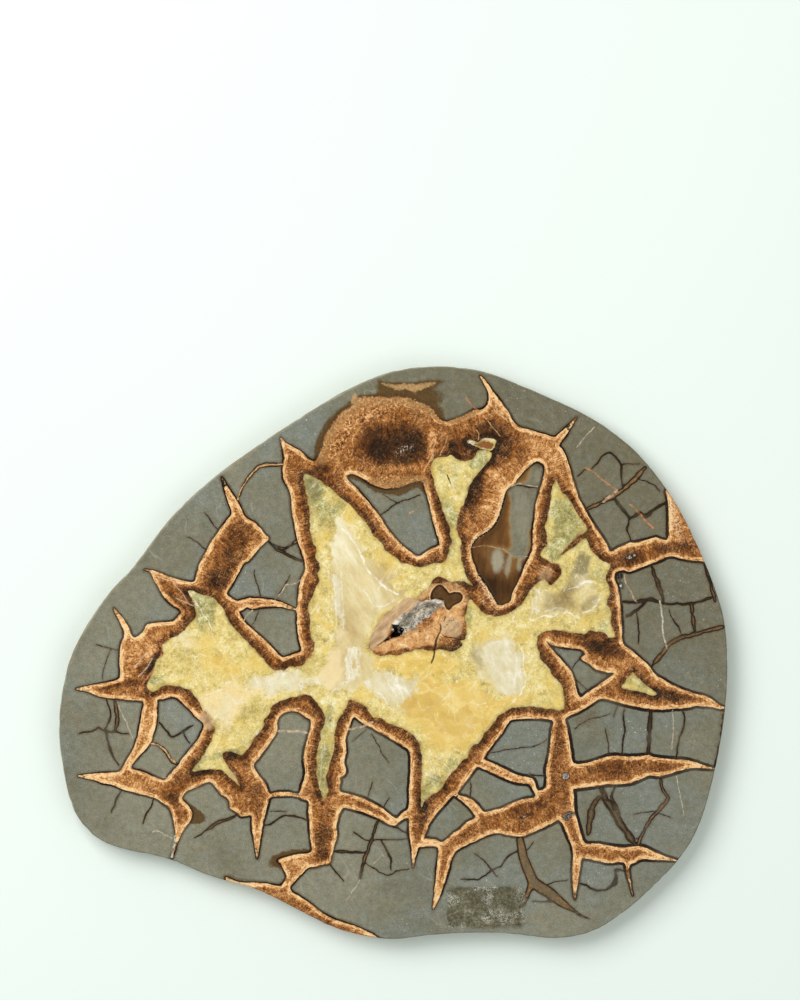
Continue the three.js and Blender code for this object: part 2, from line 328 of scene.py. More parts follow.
# Pale lines: width, tone (0 chalk, 1 rust, 2 tan thread), route.
paleLines = rowsOf("""
1 0.2 508,488.3 512,486.3 517,484.4 528,485.2 537.5,487
1.2 0.2 597,425 591,431 586,437 577,448
1.8 1 586,468 595,473 600,478 611,486 618,492
2 1 631,505 640,514 650,525 654,529
3 0.4 604,502 609,498 613,495 617,491
1.8 0 661,602 662,608 663,614 664,620 663.5,626 664,632 665,638 667,644 668.5,650
1.6 0.5 625,576 626,581 628,587 632,593 635,600 638,603
1 0.1 117,702 121,711 125,720 129,729 133,738
1.2 0.1 152,832 157,831 162,834 171,838
2.6 0 175.5,836 173.5,846 171,858
1.8 2 151,743.5 157,744.5 162,748 166,752 170,758 175,762
1.4 0.3 300,580 294,583.5 286,585 284,588 278,596 275,599
1.4 0.2 244,620 248,614 252,610
0.8 0.1 162,777 167,777.5 174,771 181,762 188,752 194,744
0.9 0.1 674,712 675,732 673,752
0.9 0.1 678,779 686,818
0.9 0.1 346,902 360,882
0.9 0.1 372,867 384,855
2.2 0.5 348,729.5 356,729 366,725.5 372,723
2.6 0.3 277,731 282,731.5 290,731.5 300,732 306,733
1.2 2 238,499 241,490 246,481 252.5,472.5 260,466.5 271,464.5 283,464
0.6 0.6 471,548 485,546 497,548 505,551 512,556 528,557
1 0.1 200,607 187,603 176,597
1.8 0.8 409,513 411,512 413,511.5
3 1 160.5,643 162.5,648 162,653 160,658
2.2 1 158,661 154,668 149,675 143,682 139,688
1.4 0.3 134,668 140,660 146,652
1.4 0.2 138,676 146,668 152,658
1.2 0.5 172,580 178,588 183,594 188,602
1.2 0.4 150,571 160,577 170,580 182,583
1.4 1 466,398 470,403 475,408 482,414
1 2 482,414 488,421 494,429 500,436
1 2 478,440 479,434 476,430
1 2 354,434 352,440 353,447 351,456
1.2 2 342,431 348,428 355,425 357,420 363,417 372,413 377,408
1 2 345,424 350,428 356,424 362,424 370,417 380,415
1 2 430,430 433,438 430,446 432,456 428,464 424,472
1 2 434,432 436,440 433,450 434,462 431,474
1.2 2 484,382 488,388 492,394 496,400 502,410 506,418
1 2 495,404 498,412 502,417 508,421 516,427 524,430
1 2 488,402 494,410 500,416
1 2 447,436 446,444 442,450 440,456
""")

# Soft patches: middle x, middle y, half width, half height, turn in degrees, strength.
patches = {
    "stain": """
372,478,14,5,28,0.5 388,487,14,6,5,1 406,486,14,6,-18,0.9 420,482,6,6,0,0.7 280,862,14,6,-15,0.7
300,856,16,4,-8,0.7 587,718,16,14,0,0.25 540,465,5,6,20,0.4 411,394,22,8,0,0.6 388,392,14,6,20,0.6
434,398,12,10,-30,0.5""",
    "dark": """
474,492,9,26,12,0.6 482,462,14,8,-30,0.4 392,445,34,22,0,0.9 372,438,14,16,30,0.4 412,448,18,18,0,0.5
462,447,22,10,0,0.7 497,432,12,9,30,0.8 505,450,10,12,0,0.7 492,458,8,14,10,0.7 520,445,14,8,20,0.3
485,430,12,6,-30,0.6 477,480,8,16,18,0.4 466,540,6,30,0,0.2 632,558,17,8,-6,0.6 675,549,26,7,-4,0.4
610,535,6,10,0,0.2 323,841,9,20,0,0.4 323,856,9,8,0,0.3 234,757,11,8,0,0.35 244,762,8,6,0,0.3
152,664,15,3.5,-62,0.8 148,772,18,2.6,16,0.8 236,540,14,20,25,0.45 226,565,12,22,20,0.4 219,580,14,10,20,0.7
262,790,10,20,0,0.2 556,745,8,28,8,0.25 560,780,12,12,0,0.3 530,808,26,8,-15,0.3 620,771,24,7,2,0.35
660,770,20,6,0,0.3 668,697,22,6,12,0.8 648,694,14,4,10,0.6 690,699,14,4,10,0.4 600,648,24,8,10,0.7
612,658,10,8,0,0.4 424,818,6,22,0,0.6 255,815,6,22,0,0.2 128,683,20,4,0,0.5 108,687,12,3,0,0.4
177,790,10,16,20,0.4 205,770,20,8,-25,0.35 168,795,10,8,0,0.4 303,485,5,30,0,0.25 318,465,14,5,30,0.5
178,605,5,18,-30,0.5 190,590,12,5,10,0.5 142,668,4,10,35,0.5 452,646,9,4,0,0.4""",
    "pale": """
430,448,2.5,24,2,0.8 545,452,20,12,0,0.8 553,462,8,20,-8,0.6 400,468,28,4,0,0.5 340,430,8,24,35,0.3
370,402,30,4,-5,0.3 408,403,26,4,0,0.4 480,412,10,8,0,0.4 488,395,4,14,10,0.4 118,783,40,6,10,0.3
150,650,5,14,0,0.5 130,660,6,18,0,0.3 296,868,18,12,40,0.6 330,800,14,4,0,0.5 275,875,8,10,0,0.4
538,445,22,6,12,0.5 560,470,4,22,-14,0.4 450,620,14,16,0,0.75 408,638,22,5,-12,0.8 440,612,8,8,0,0.6
476,600,8,6,0,0.6 385,915,30,14,25,0.3 240,885,30,6,5,0.3 495,500,16,26,10,0.6 486,470,12,16,10,0.3
675,518,10,26,-15,0.75 650,548,5,12,10,0.5 200,715,6,9,-30,0.9 615,665,16,7,10,0.6 432,640,6,8,0,0.7
134,655,18,20,0,0.5 148,636,18,14,0,0.3 500,488,8,30,22,0.2 100,776,26,6,0,0.5 147,732,6,30,10,0.5
405,648,36,6,-6,0.6 460,610,8,20,0,0.4 166,785,26,10,20,0.3 130,632,12,8,30,0.5 500,395,10,20,30,0.3
340,440,20,26,30,0.25""",
    "milk": """
275,684,28,10,0,0.75 232,702,14,11,0,0.5 398,714,10,8,0,0.4 507,684,18,16,0,0.4 296,682,34,11,0,0.5
262,690,14,10,0,0.4 465,500,8,26,10,0.3 452,466,18,10,0,0.3 440,758,6,9,0,0.35 335,530,8,14,0,0.35
320,770,5,26,0,0.25 285,672,14,5,0,0.5 640,682,12,7,20,0.4 340,510,10,12,0,0.2 186,642,20,16,0,0.45
214,712,14,10,0,0.35 240,678,18,8,0,0.3 225,720,14,10,0,0.35 434,775,10,16,0,0.3""",
    "honey": """
225,664,16,14,0,0.5 180,668,14,8,0,0.3 410,664,40,8,0,0.7 480,585,16,10,0,0.3 552,680,6,22,-20,0.5
213,664,10,9,0,0.5 206,690,10,8,0,0.4 385,560,22,8,35,0.5 520,702,24,6,0,0.6 600,605,10,22,0,0.2
330,690,16,8,0,0.3 346,640,10,20,0,0.2 318,600,5,30,0,0.5 545,628,24,6,0,0.35 246,690,12,12,0,0.3
232,676,16,10,0,0.35 320,540,8,20,0,0.3""",
    "peach": """
206,660,14,12,0,0.3 222,704,26,22,0,0.9 248,690,26,13,0,0.6 268,690,16,8,0,0.4 196,672,18,12,0,0.35
178,630,16,12,0,0.3 362,590,14,26,0,0.4 330,672,8,12,20,0.7 226,728,12,10,0,0.4""",
    "moss": """
478,461,12,9,0,1 440,470,6,10,0,0.6 333,508,14,10,30,0.4 310,480,12,16,0,0.9 478,446,16,8,0,0.5
455,470,8,20,0,0.4 450,505,10,14,0,0.4 445,525,8,12,0,0.4 203,606,12,20,0,1 207,623,9,11,0,0.6
156,682,10,7,30,0.8 230,757,26,7,0,0.9 197,760,8,16,30,0.7 312,492,14,22,0,0.8 330,515,16,20,30,0.55
325,745,7,46,5,0.8 322,775,6,26,0,0.9 430,792,12,16,0,0.9 455,765,10,8,-40,0.6 563,515,14,34,0,0.9
575,535,16,16,0,0.8 586,575,13,18,0,0.4 553,550,10,12,0,0.8 600,575,8,14,0,0.5 606,610,6,26,0,0.5
595,628,20,5,0,0.4 637,683,18,9,20,1 326,752,6,46,4,0.5 440,790,12,16,0,0.6 446,560,16,7,0,0.5
452,530,5,26,0,0.6 480,444,14,6,0,0.3 446,500,8,20,0,0.3 470,620,6,14,0,0.6 475,645,6,12,0,0.7
465,585,10,4,0,0.4 160,665,6,12,0,0.4 310,540,4,40,0,0.5 314,640,4,14,0,0.4 240,775,10,10,0,0.6
556,600,10,6,0,0.4""",
    "shade": """
312,489,9,14,0,1 478,462,8,6,0,0.3 583,566,9,13,0,0.8 560,588,12,8,0,0.25 198,603,7,10,0,0.4 430,800,7,10,0,0.5
238,753,16,5,0,0.5 152,683,6,5,0,0.5 448,783,4,10,-40,0.4 197,766,6,10,30,0.4 306,485,5,12,0,0.4
200,590,8,5,0,0.4 323,517,5,5,0,0.35 326,530,3,4,0,0.35 213,684,5,8,0,0.3 182,658,4,3,0,0.3 204,642,4,3,0,0.35
264,678,4,3,40,0.35 432,610,3,3,0,0.8 420,630,4,3,0,1 326,745,3,40,5,0.25 255,700,5,4,0,0.2 406,582,6,4,0,0.3""",
    "sheet": "300,682,30,7,0,0.5 238,692,34,22,0,0.3 386,572,14,12,35,0.5",
    "softWall": """
372,404,54,14,-22,1 332,440,14,26,30,1 420,402,34,12,10,0.9 392,393,46,8,0,1 440,414,8,8,0,0.5
400,482,34,8,0,0.6 465,416,20,6,-20,0.4""",
    "pink": """
452,628,13,13,0,0.8 436,600,8,6,0,0.4 546,575,12,9,-40,0.55 231,775,5,9,-30,0.6 150,655,8,12,10,0.35
206,722,9,12,-35,0.7""",
    "lip": """
412,638,29,7,-14,1 450,620,16,18,0,0.9 436,612,10,10,0,0.8 432,634,12,10,0,0.9 460,604,8,8,0,0.6
448,646,16,4,0,0.4 440,628,10,8,0,0.8 392,646,22,6,-8,0.9 420,644,20,6,0,0.5 426,592,14,6,-35,0.7
452,587,14,6,10,0.6 466,600,5,10,0,0.5""",
    "frost": """
498,561,6.5,15,6,0.85 508.5,566,4,15,6,0.7 520,564,3.4,10,8,0.6 489,556,9,9,0,0.3 522,515,12,36,-4,0.5
538,476,6,10,0,0.45""",
    "silver": "409,622,20,11,-28,0.95 426,609,14,10,-20,0.85 438,604,8,6,0,0.5",
    # where the dark line along the walls is broad
    "bold": "640,780,130,110,0,1 640,560,110,90,0,0.5 380,790,160,60,0,0.5 500,880,60,30,0,0.6",
    # painted shade: near-black spots that stand for deep holes in the pocket floor
    "hole": """
398,633,9,3.2,-32,1 420,632,5,1.8,-20,0.6 396,628,4,6,-40,0.8 388,640,5,1.8,-35,0.9 428,601,3,3,-40,0.4""",
    "pepper": """
446,622,9,11,20,1 424,604,6,5,0,0.5 440,641,5,8,0,0.8 430,637,14,4,-10,0.5 476,592,4,12,-30,0.6
556,462,10,20,-8,0.3""",
    "core": "483,445.2,14,4.4,5,1",
    # where the dark line along a wall thins out: the tips and the necks of the veins
    "thin": """
482,382,9,12,0,1 285,441,8,9,0,1 576,424,8,12,20,1 150,573,14,9,30,1 118,614,9,11,30,1 84,687,18,7,0,1
86,776,20,7,0,1 177,836,7,14,20,0.8 254,852,6,18,0,0.9 716,707,26,9,20,1 708,770,22,8,0,1 672,863,22,7,0,1
633,890,6,22,0,1 576,890,7,20,0,0.3 434,900,8,26,0,1 412,866,6,18,0,1 290,605,14,9,10,0.9 284,795,24,7,0,0.9
380,386,60,9,0,1 360,400,14,10,0,1 660,540,14,6,0,0.6""",
}
# Soft areas with an outline: blur in squares, strength, outline.
areas = {
    "amber": rowsOf("""
5 0.66 520,463 531,463 525,484 514,487 509,489 511,496 511,510 510,526 512,536 511,548 500,548 490,547 471,546
  480,537 492,528 499,516 503,497 510,482
2.5 0.55 470,547 491,548 502,550 510,555 518,559 530,560 521,580 512,602 497,608 486,586 474,564
7 0.7 472,566 486,574 500,578 514,574 526,566 520,584 511,604 497,608 484,588
4 0.5 468,545 478,546 484,560 490,580 500,604 494,608 482,590 472,566
3 0.45 470,546 476,539 492,527 499,514 503,494 508,496 504,514 498,531 484,541 480,547
2 0.4 531,528 536,528 534,553 529,560 528,552
"""),
    "stain": rowsOf("""
3.5 1 314,458 316,444 321,431 327,421 336,412 346,404 356,398 366,395 378,393 392,394 405,398 406,401 360,401
  345,410 330,430 323,455 317,462
3 0.7 430,399 437,404 444,413 445,421 437,419 429,408 420,402 415,396
2.5 1 347,473 356,480 366,486 378,492 392,495 408,492 420,488 425,494 424,478 408,478 392,484 376,482 360,472
1.2 1 183,800 189.4,805.4 195.5,809.5 201.7,813.6 203.7,817.7 202.7,821.8 198.6,823.8 190,824 186,815
2 0.8 271,858 311,850 312,855 290,861 280,866 286,878 279,872
2 0.6 376,379 388,381 417,382 440,379 447,381 436,386 428,393 420,399 405,398 392,396 384,390
"""),
    "sand": rowsOf("""
1.6 0.8 381,382.5 387,383 417,384 433,382 440,381 433,384.5 425,389 417,392.5 405,392 396,391 388,387
1.6 0.9 353,393 356,394 360,403 355,406 350,404
"""),
    "sheet": rowsOf("""
5 1 336,523 346,521 352,530 358,542 364,553 372,562 382,574 392,586 402,596 408,604 398,612 386,622 377,634
  371,648 360,650 350,644 341,634 335,620 331,600 330,578 331,552 333,536
4.6 0.9 334,628 345,627 356,634 372,650 374,668 364,684 350,692 338,690 322,686 320,672 328,660 331,645
4.6 0.8 364,684 372,676 384,672 396,674 410,676 420,680 416,692 408,700 398,708 390,708 380,698 368,692
6.5 0.9 412,690 430,682 450,686 470,688 488,700 484,716 470,736 456,748 442,750 428,738 420,722 404,712
6 0.75 474,646 486,638 500,636 514,640 525,650 525,664 527,678 525,690 517,698 502,694 488,688 478,676 470,660
3.6 0.6 530,592 540,586 552,590 566,592 576,582 588,580 599,584 602,596 600,606 590,613 578,617 552,617 532,616
"""),
    "honey": rowsOf("""
10.3 0.95 412,688 432,678 452,684 470,680 490,694 512,704 500,712 484,732 462,752 442,752 428,742 420,728 406,712
5.5 0.8 376,652 392,656 420,652 434,654 450,656 460,662 452,676 430,674 408,672 388,672 374,668
"""),
    "milk": rowsOf("""
3.1 0.75 334,574 338,584 341,600 342,614 343,626 337,624 333,612 331,600 331,586
2.7 0.8 352,648 357,646 359,652 357,660 356,668 357,676 350,680 346,674 345,664 347,655
2.7 0.7 330,697 337,688 345,682 352,678 350,684 342,690 334,698
5.5 0.65 366,684 374,677 386,674 398,675 410,678 416,684 412,694 404,702 396,708 388,704 380,696 370,692
5 0.6 480,652 492,641 508,640 520,645 525,654 524,666 526,678 523,690 515,697 505,692 496,682 486,672
5.5 0.5 491,643 506,641 512,652 506,668 498,664 492,655
3.6 0.35 530,593 540,587 543,600 541,614 533,616 530,604
3.6 0.2 346,530 353,548 360,566 366,590 360,615 350,625 340,615 337,590 339,560
"""),
    "pink": rowsOf("""
2.8 1 369,650 371,636 378,624 386,614 395,606 405,600 416,599 425,603 414,609 404,614 396,621 390,630 386,640
  377,646
"""),
    "peach": rowsOf("""
6.5 0.75 322,672 328,660 333,648 340,655 344,668 338,682 326,688
5.5 0.5 334,630 346,628 356,635 355,645 346,655 336,652
"""),
    "smoke": rowsOf("""
4.6 0.55 545,590 553,594 566,595 574,600 576,612 566,613 552,615 544,610
5.2 0.75 580,606 586,599 594,594 600,594 601,600 596,607 588,612 581,612
5.5 0.8 574,566 578,557 584,556 590,560 592,570 591,581 583,584 575,584 570,590 568,582
6.5 0.75 560,590 570,585 578,582 584,588 574,596 562,598
5.5 0.6 470,652 482,648 486,660 484,672 474,668
6.5 0.3 366,600 380,596 392,604 384,618 372,630
"""),
}
# White streaks in the filling, along its cleavage: width, strength, route.
veils = rowsOf("""
2.2 1 342,528 352,539 359,550 363,560 367,570 374,577 380,583 387,589 398,594
1.4 0.6 364,590 370,600 377,607 386,606 394,600
1 0.4 356,560 358,580 362,596
1.5 0.6 333,575 335,592 336,612 337,626
1.2 0.6 341,572 342,590 343,606 343,628
1 0.4 328,560 329,590 328,615
1 0.7 326,609 329,618 333,626
1.2 0.9 349,648 347,658 347,668 350,680
1 0.8 353,646 351,658 352,670 355,680
1 0.8 357,647 356,658 357,668 360,678
1 0.6 360,652 360,664 363,676
1.4 0.9 391,672 394,682 399,690 405,700
1.2 0.8 385,676 390,686 397,696
1.4 0.9 374,691 380,694 385,700 388,707 394,713
1 0.7 396,678 400,686 406,692
1 0.6 402,680 406,688 410,696
1 0.8 396,664 397,674 398,682
1.2 0.7 346,700 338,692 346,684 354,676
1.3 0.7 328,697 336,688 344,682
1.7 0.8 519,645 523,651 524,660 523,668 526,678 524,690 519,697
2 0.5 514,650 517,664 515,690
1.4 0.5 486,646 496,643 508,642 516,645
1 0.4 474,664 482,668 490,668
1.2 0.8 531,592 533,604 532,614
1 0.7 535,588 537,602 536,615
1 0.6 540,588 541,600 540,612
1.5 1 530,620 535,621.5 540,618 548,617 553,618.5 560,614 568,613 575,616.5 580,619
1.2 0.8 545,612 552,610 560,608 568,611
1 0.7 549,615 556,613 563,611
3 1 578,588 582,584 588,582 592,583
3.2 1 596,603 600,600.5
1.3 0.9 584,613 590,612 596,607 601,600
1.2 0.6 568,590 576,588 582,586
1.2 0.4 335,760 333,775 330,790
1.2 0.4 322,730 321,760 320,785
0.8 0.45 418,702 421,708 424,711 429,708 434,707
0.8 0.45 450,684 450,696 449,704 448,716
0.8 0.45 434,715 437,722 442,725
0.8 0.5 453,704 455,712 455,720 457,724 465,725 474,729
1 0.5 470,702 477,706 486,704
1 0.5 441,702 447,697 449,690
1 0.5 474,686 476,690 482,690
1.2 0.8 435,764 440,758 445,754
1.4 0.8 455,750 459,752
1 0.6 430,760 434,770 436,780
1 0.6 444,765 449,772 452,778
1 0.5 426,775 432,778 438,776
1 0.9 188.8,591 194,599 199,606 202.7,612.6 208,620 211,628 213,638
1 0.4 178,608 186,600 194,604
1.2 0.8 206,695 214,692 222,690
1 0.6 194,656 200,654 207,656
1 0.6 195,656 194,663
1 0.35 205,660 205,675 206,690
1 0.4 236,728 243,733 247,725
1 0.4 207,744 210,754 212,760
1.5 0.6 449,485 451,491 454,498
1.2 0.6 452,482 455,488 456,500
1 0.4 372,520 380,536 384,548
1 0.4 470,560 466,580 472,596
2.5 0.6 470,442.5 478,440.5 486,439 494,440
1.5 0.7 466,441 470,444 474,446
1 0.5 318,560 332,575 340,590
1 0.4 396,562 384,576 378,592
1.2 0.7 397,625 402,629 406,633
1 0.6 394,624 399,627
1.2 0.6 414,614 420,612 424,616
1 0.8 446,583 453,583 458,583
""")
pocketMouth = """
388,641 391,633 397,625 404,617 412,610 421,605 428,601 434,602 441,605 446,610 445,617 441,623 434,627 428,629
424,633 418,631 412,634 404,637 396,639"""
roughPatch = """
447,890 449,889 467,888.5 486,888 505,888.5 523,889 525,890.5 525.5,909 526,928 524,930 505,931 486,932 467,931
449,930.5 447,928.5 446.5,909"""
heartSpot = """
432,600 432,594 434,590 437,587 440,586 443,587.5 446,591 449,594.5 454,593.5 460,594 462,597 461.5,600
459,602.5 453,605.5 449,610 446,607 443,600 435,599"""
# Small openings and lenses: tone (0 black and glittering, 1 grey-white), outline.
lenses = [
    (0.35, "563,819 564,816.5 568,814.5 576,814 577,816.5 573,818.5 570,821.5 566,823"),
    (0.6, "625,559.5 628,557 633,555 637,554.5 637.5,556.5 634,559 629,560.5"),
    (0.6, "519,820 524,817.3 529,815 535,814.5 532,817 527,819 522,821"),
    (0.1, "617,577 619,574 622,573 624,575.5 624,578.5 621,580 618,580"),
    (1.0, "619,584 621.5,582.5 624,585 623.5,590 621.5,589"),
    (0.55, "562,777 564,774.5 568,774.5 570.5,777 569.5,780.5 566,782 562.8,780.5"),
]
# Scattered glittering grains: width, strength, route.
glints = rowsOf("""
5 0.9 399,452 405,449 412,447
3.4 1 471,545 476,540 484,535 492,530
2.4 0.8 497,522 501,510 503,498
3.6 1 477,577 482,584 487,592 494,602
5 0.5 482,600 490,606 500,608
8 0.7 671,506 676,522 682,538
8 0.15 395,440 400,436 415,434
4 0.5 497,456 501,456
8 0.3 600,600 640,596 690,600
16 0.35 580,725 640,730 700,740
10 0.4 380,880 420,885
8 0.35 330,900 370,890
""")

grid = {
    # the polished face, and the sawn back with only its walls and cracks; lengths in squares
    "face": {"spacing": 2.35, "clearOfWalls": 1.15, "everyLine": True, "seed": 11},
    "back": {"spacing": 5.2, "clearOfWalls": 2.3, "everyLine": False, "seed": 12},
    "wallStep": 2.0,  # between the points along a wall or a crack
    "areaStep": 4.0,
    "offRim": 0.75,  # share of the spacing that is kept free along the rim
    "jitter": 0.28,
    "rimPoints": 600,
    "rimSamples": 7200,
    "pocketReach": 60 * mm,  # the plain slice's rim is further out than this, and its pocket is nearer
    # how far a line strays from where it is drawn, with the seed of its noise first
    "wander": {
        "network": (1, 0.32), "islands": (2, 0.32), "filling": (3, 0.896), "cracks": (4, 0.7), "pale": (5, 0.5),
        "veils": (6, 1.0), "pocket": (7, 0.8), "rough": (8, 0.3),
    },
    "wanderScales": (0.16, 0.5),
}


def drawn(text):
    return [tuple(float(v) for v in pair.split(",")) for pair in text.split()]


def smoothRoute(text, closed, step):
    # a centripetal spline through the drawn points, cut into even steps
    points = np.array(drawn(text))
    count = len(points)
    found = []
    for i in range(count if closed else count - 1):
        if closed:
            p0, p1, p2, p3 = (points[(i + k) % count] for k in (-1, 0, 1, 2))
        else:
            p0, p1 = points[max(i - 1, 0)], points[i]
            p2, p3 = points[i + 1], points[min(i + 2, count - 1)]
        before, within, after = (
            max(np.linalg.norm(b - a), 1e-6) ** 0.5 for a, b in ((p0, p1), (p1, p2), (p2, p3)))
        m1 = (p2 - p1) + within * ((p1 - p0) / before - (p2 - p0) / (before + within))
        m2 = (p2 - p1) + within * ((p3 - p2) / after - (p3 - p1) / (within + after))
        steps = max(1, round(np.linalg.norm(p2 - p1) / step))
        for k in range(steps):
            t = k / steps
            found.append(
                (2 * t**3 - 3 * t**2 + 1) * p1 + (t**3 - 2 * t**2 + t) * m1
                + (-2 * t**3 + 3 * t**2) * p2 + (t**3 - t**2) * m2
            )
    if not closed:
        found.append(points[-1])
    return np.array(found)


def wandering(points, seed, reach):
    # strays each point by smooth noise, so a wall isn't ruled
    coarse, fine = grid["wanderScales"]
    moved = []
    for x, y in points:
        at = Vector((x * coarse, y * coarse, seed))
        fineAt = Vector((x * fine, y * fine, seed + 7))
        right = noise.noise(at) + 0.5 * noise.noise(fineAt)
        down = noise.noise(at + Vector((0, 0, 31))) + 0.5 * noise.noise(fineAt + Vector((0, 0, 17)))
        moved.append((x + reach * right * 1.4, y + reach * down * 1.4))
    return np.array(moved)


def insideOf(points, ring):
    x, y = points[:, 0], points[:, 1]
    inside = np.zeros(len(points), bool)
    for (x1, y1), (x2, y2) in zip(ring, np.roll(ring, -1, axis=0)):
        if y1 == y2:
            continue
        crosses = (y1 > y) != (y2 > y)
        inside ^= crosses & (x < (x2 - x1) * (y - y1) / (y2 - y1) + x1)
    return inside


def closing(ring):
    return np.vstack([ring, ring[:1]])


class Lines:
    # many routes, asked for the distance to the nearest of them
    def __init__(self, routes, values=None):
        starts, ends, value = [], [], []
        for i, route in enumerate(routes):
            starts.append(route[:-1])
            ends.append(route[1:])
            value.append(np.full((len(route) - 1, 2), values[i] if values else (0, 0), float))
        self.a, self.b = np.concatenate(starts), np.concatenate(ends)
        self.value = np.concatenate(value)
        self.tree = KDTree(len(self.a))
        for i, middle in enumerate((self.a + self.b) / 2):
            self.tree.insert((*middle, 0), i)
        self.tree.balance()

    def near(self, points, count=4):
        picks = np.array([
            [index for _, index, _ in self.tree.find_n((x, y, 0), count)] for x, y in points
        ])
        a, b = self.a[picks], self.b[picks]
        along = b - a
        share = ((points[:, None] - a) * along).sum(2) / np.maximum((along**2).sum(2), 1e-9)
        foot = a + along * np.clip(share, 0, 1)[..., None]
        distance = np.linalg.norm(points[:, None] - foot, axis=2)
        rows = np.arange(len(points))
        best = (distance - self.value[picks][..., 0]).argmin(1)
        return distance[rows, best], foot[rows, best], self.value[picks][rows, best]


def ringOf(text, kind=None):
    ring = smoothRoute(text, True, grid["wallStep"])
    return wandering(ring, *grid["wander"][kind]) if kind else ring


def routesOf(rows, kind=None):
    routes = [smoothRoute(text, False, grid["wallStep"]) for _, _, text in rows]
    return [wandering(route, *grid["wander"][kind]) for route in routes] if kind else routes


# The drawing, smoothed and strayed.
networkRing, pocketRing = ringOf(veinOutline, "network"), ringOf(pocketMouth, "pocket")
islandRings = [ringOf(text, "islands") for text in islands.values()]
calciteRings = [ringOf(text, "filling") for text in calcite.values()]
lodeRings = [ringOf(text) for _, text in lodes]
lensRings = [ringOf(text) for _, text in lenses]
heartRing, roughRing = ringOf(heartSpot), ringOf(roughPatch, "rough")
crackRoutes, paleRoutes = routesOf(cracks, "cracks"), routesOf(paleLines, "pale")
veilRoutes, glintRoutes = routesOf(veils, "veils"), routesOf(glints)


def rimRings():
    # the plain slice's outline at each of its heights, all at the same angles, spaced evenly along the rim
    found = {}
    for vertex in frame["nodes"][sliceNode].data.vertices:
        x, y, z = vertex.co
        if math.hypot(x, y) > grid["pocketReach"]:
            found.setdefault(round(z, 6), {})[round(math.atan2(y, x), 5)] = math.hypot(x, y)
    outlines = {height: np.array(sorted(found[height].items())).T for height in sorted(found)}

    def placed(angles, height):
        radius = np.interp(angles, *outlines[height], period=2 * math.pi)
        return np.column_stack([radius * np.cos(angles), radius * np.sin(angles)])

    dense = np.linspace(-math.pi, math.pi, grid["rimSamples"], endpoint=False)
    steps = np.linalg.norm(np.diff(placed(dense, max(outlines)), axis=0), axis=1)
    length = np.concatenate([[0], np.cumsum(steps)])
    angles = np.interp(np.linspace(0, length[-1], grid["rimPoints"], endpoint=False), length, dense)
    return [(height, placed(angles, height)) for height in outlines]


def shrunk(ring, distance):
    middle = ring.mean(0)
    away = ring - middle
    radius = np.linalg.norm(away, axis=1, keepdims=True)
    return middle + away * (radius - distance) / radius


def linesToFollow(everyLine):
    outlines = [networkRing, *islandRings, *calciteRings, *lodeRings, *lensRings]
    if everyLine:
        outlines += [heartRing, pocketRing, roughRing]
        return [closing(ring) for ring in outlines] + crackRoutes + paleRoutes + veilRoutes
    # every other point is enough for the back, and its last lens isn't wanted
    return [closing(ring)[::2] for ring in outlines[:-1]] + [route[::2] for route in crackRoutes]


def triangulated(ring, side):
    # a face of small triangles whose edges follow the lines; ring is in squares
    rng = np.random.default_rng(side["seed"])
    spacing = side["spacing"]
    limit = shrunk(ring, spacing * grid["offRim"])
    points, edges = [ring], [(i, (i + 1) % len(ring)) for i in range(len(ring))]
    total = len(ring)
    routes = linesToFollow(side["everyLine"])
    for route in routes:
        kept = insideOf(route, limit)
        for i in range(len(route) - 1):
            if kept[i] and kept[i + 1]:
                edges.append((total + i, total + i + 1))
        points.append(route)
        total += len(route)
    low, high = ring.min(0), ring.max(0)
    rowHeight = spacing * math.sqrt(3) / 2
    rows = int((high[1] - low[1]) / rowHeight) + 1
    columns = int((high[0] - low[0]) / spacing) + 1
    across, down = np.meshgrid(np.arange(columns), np.arange(rows))
    field = np.column_stack([
        (low[0] + (across + 0.5 * (down % 2)) * spacing).ravel(),
        (low[1] + down * rowHeight).ravel(),
    ])
    field += rng.uniform(-1, 1, field.shape) * spacing * grid["jitter"]
    field = field[insideOf(field, limit)]
    distance, _, _ = Lines([route for route in routes if len(route) > 1]).near(field, 2)
    everything = np.concatenate([*points, field[distance > side["clearOfWalls"]]])
    keep = insideOf(everything, limit)
    keep[:len(ring)] = True
    renumber = np.cumsum(keep) - 1
    edges = [(int(renumber[a]), int(renumber[b])) for a, b in edges if keep[a] and keep[b]]
    made = delaunay_2d_cdt([Vector(p) for p in everything[keep]], edges, [], 0, 1e-4)
    corners = np.array([[v.x, v.y] for v in made[0]])
    triangles = np.array([f for f in made[2] if len(f) == 3])
    triangles = triangles[insideOf(corners[triangles].mean(1), ring)]
    ringIndex = [-1] * len(ring)
    for new, olds in enumerate(made[3]):
        for old in olds:
            if old < len(ring):
                ringIndex[old] = new
    return corners, triangles, np.array(ringIndex)


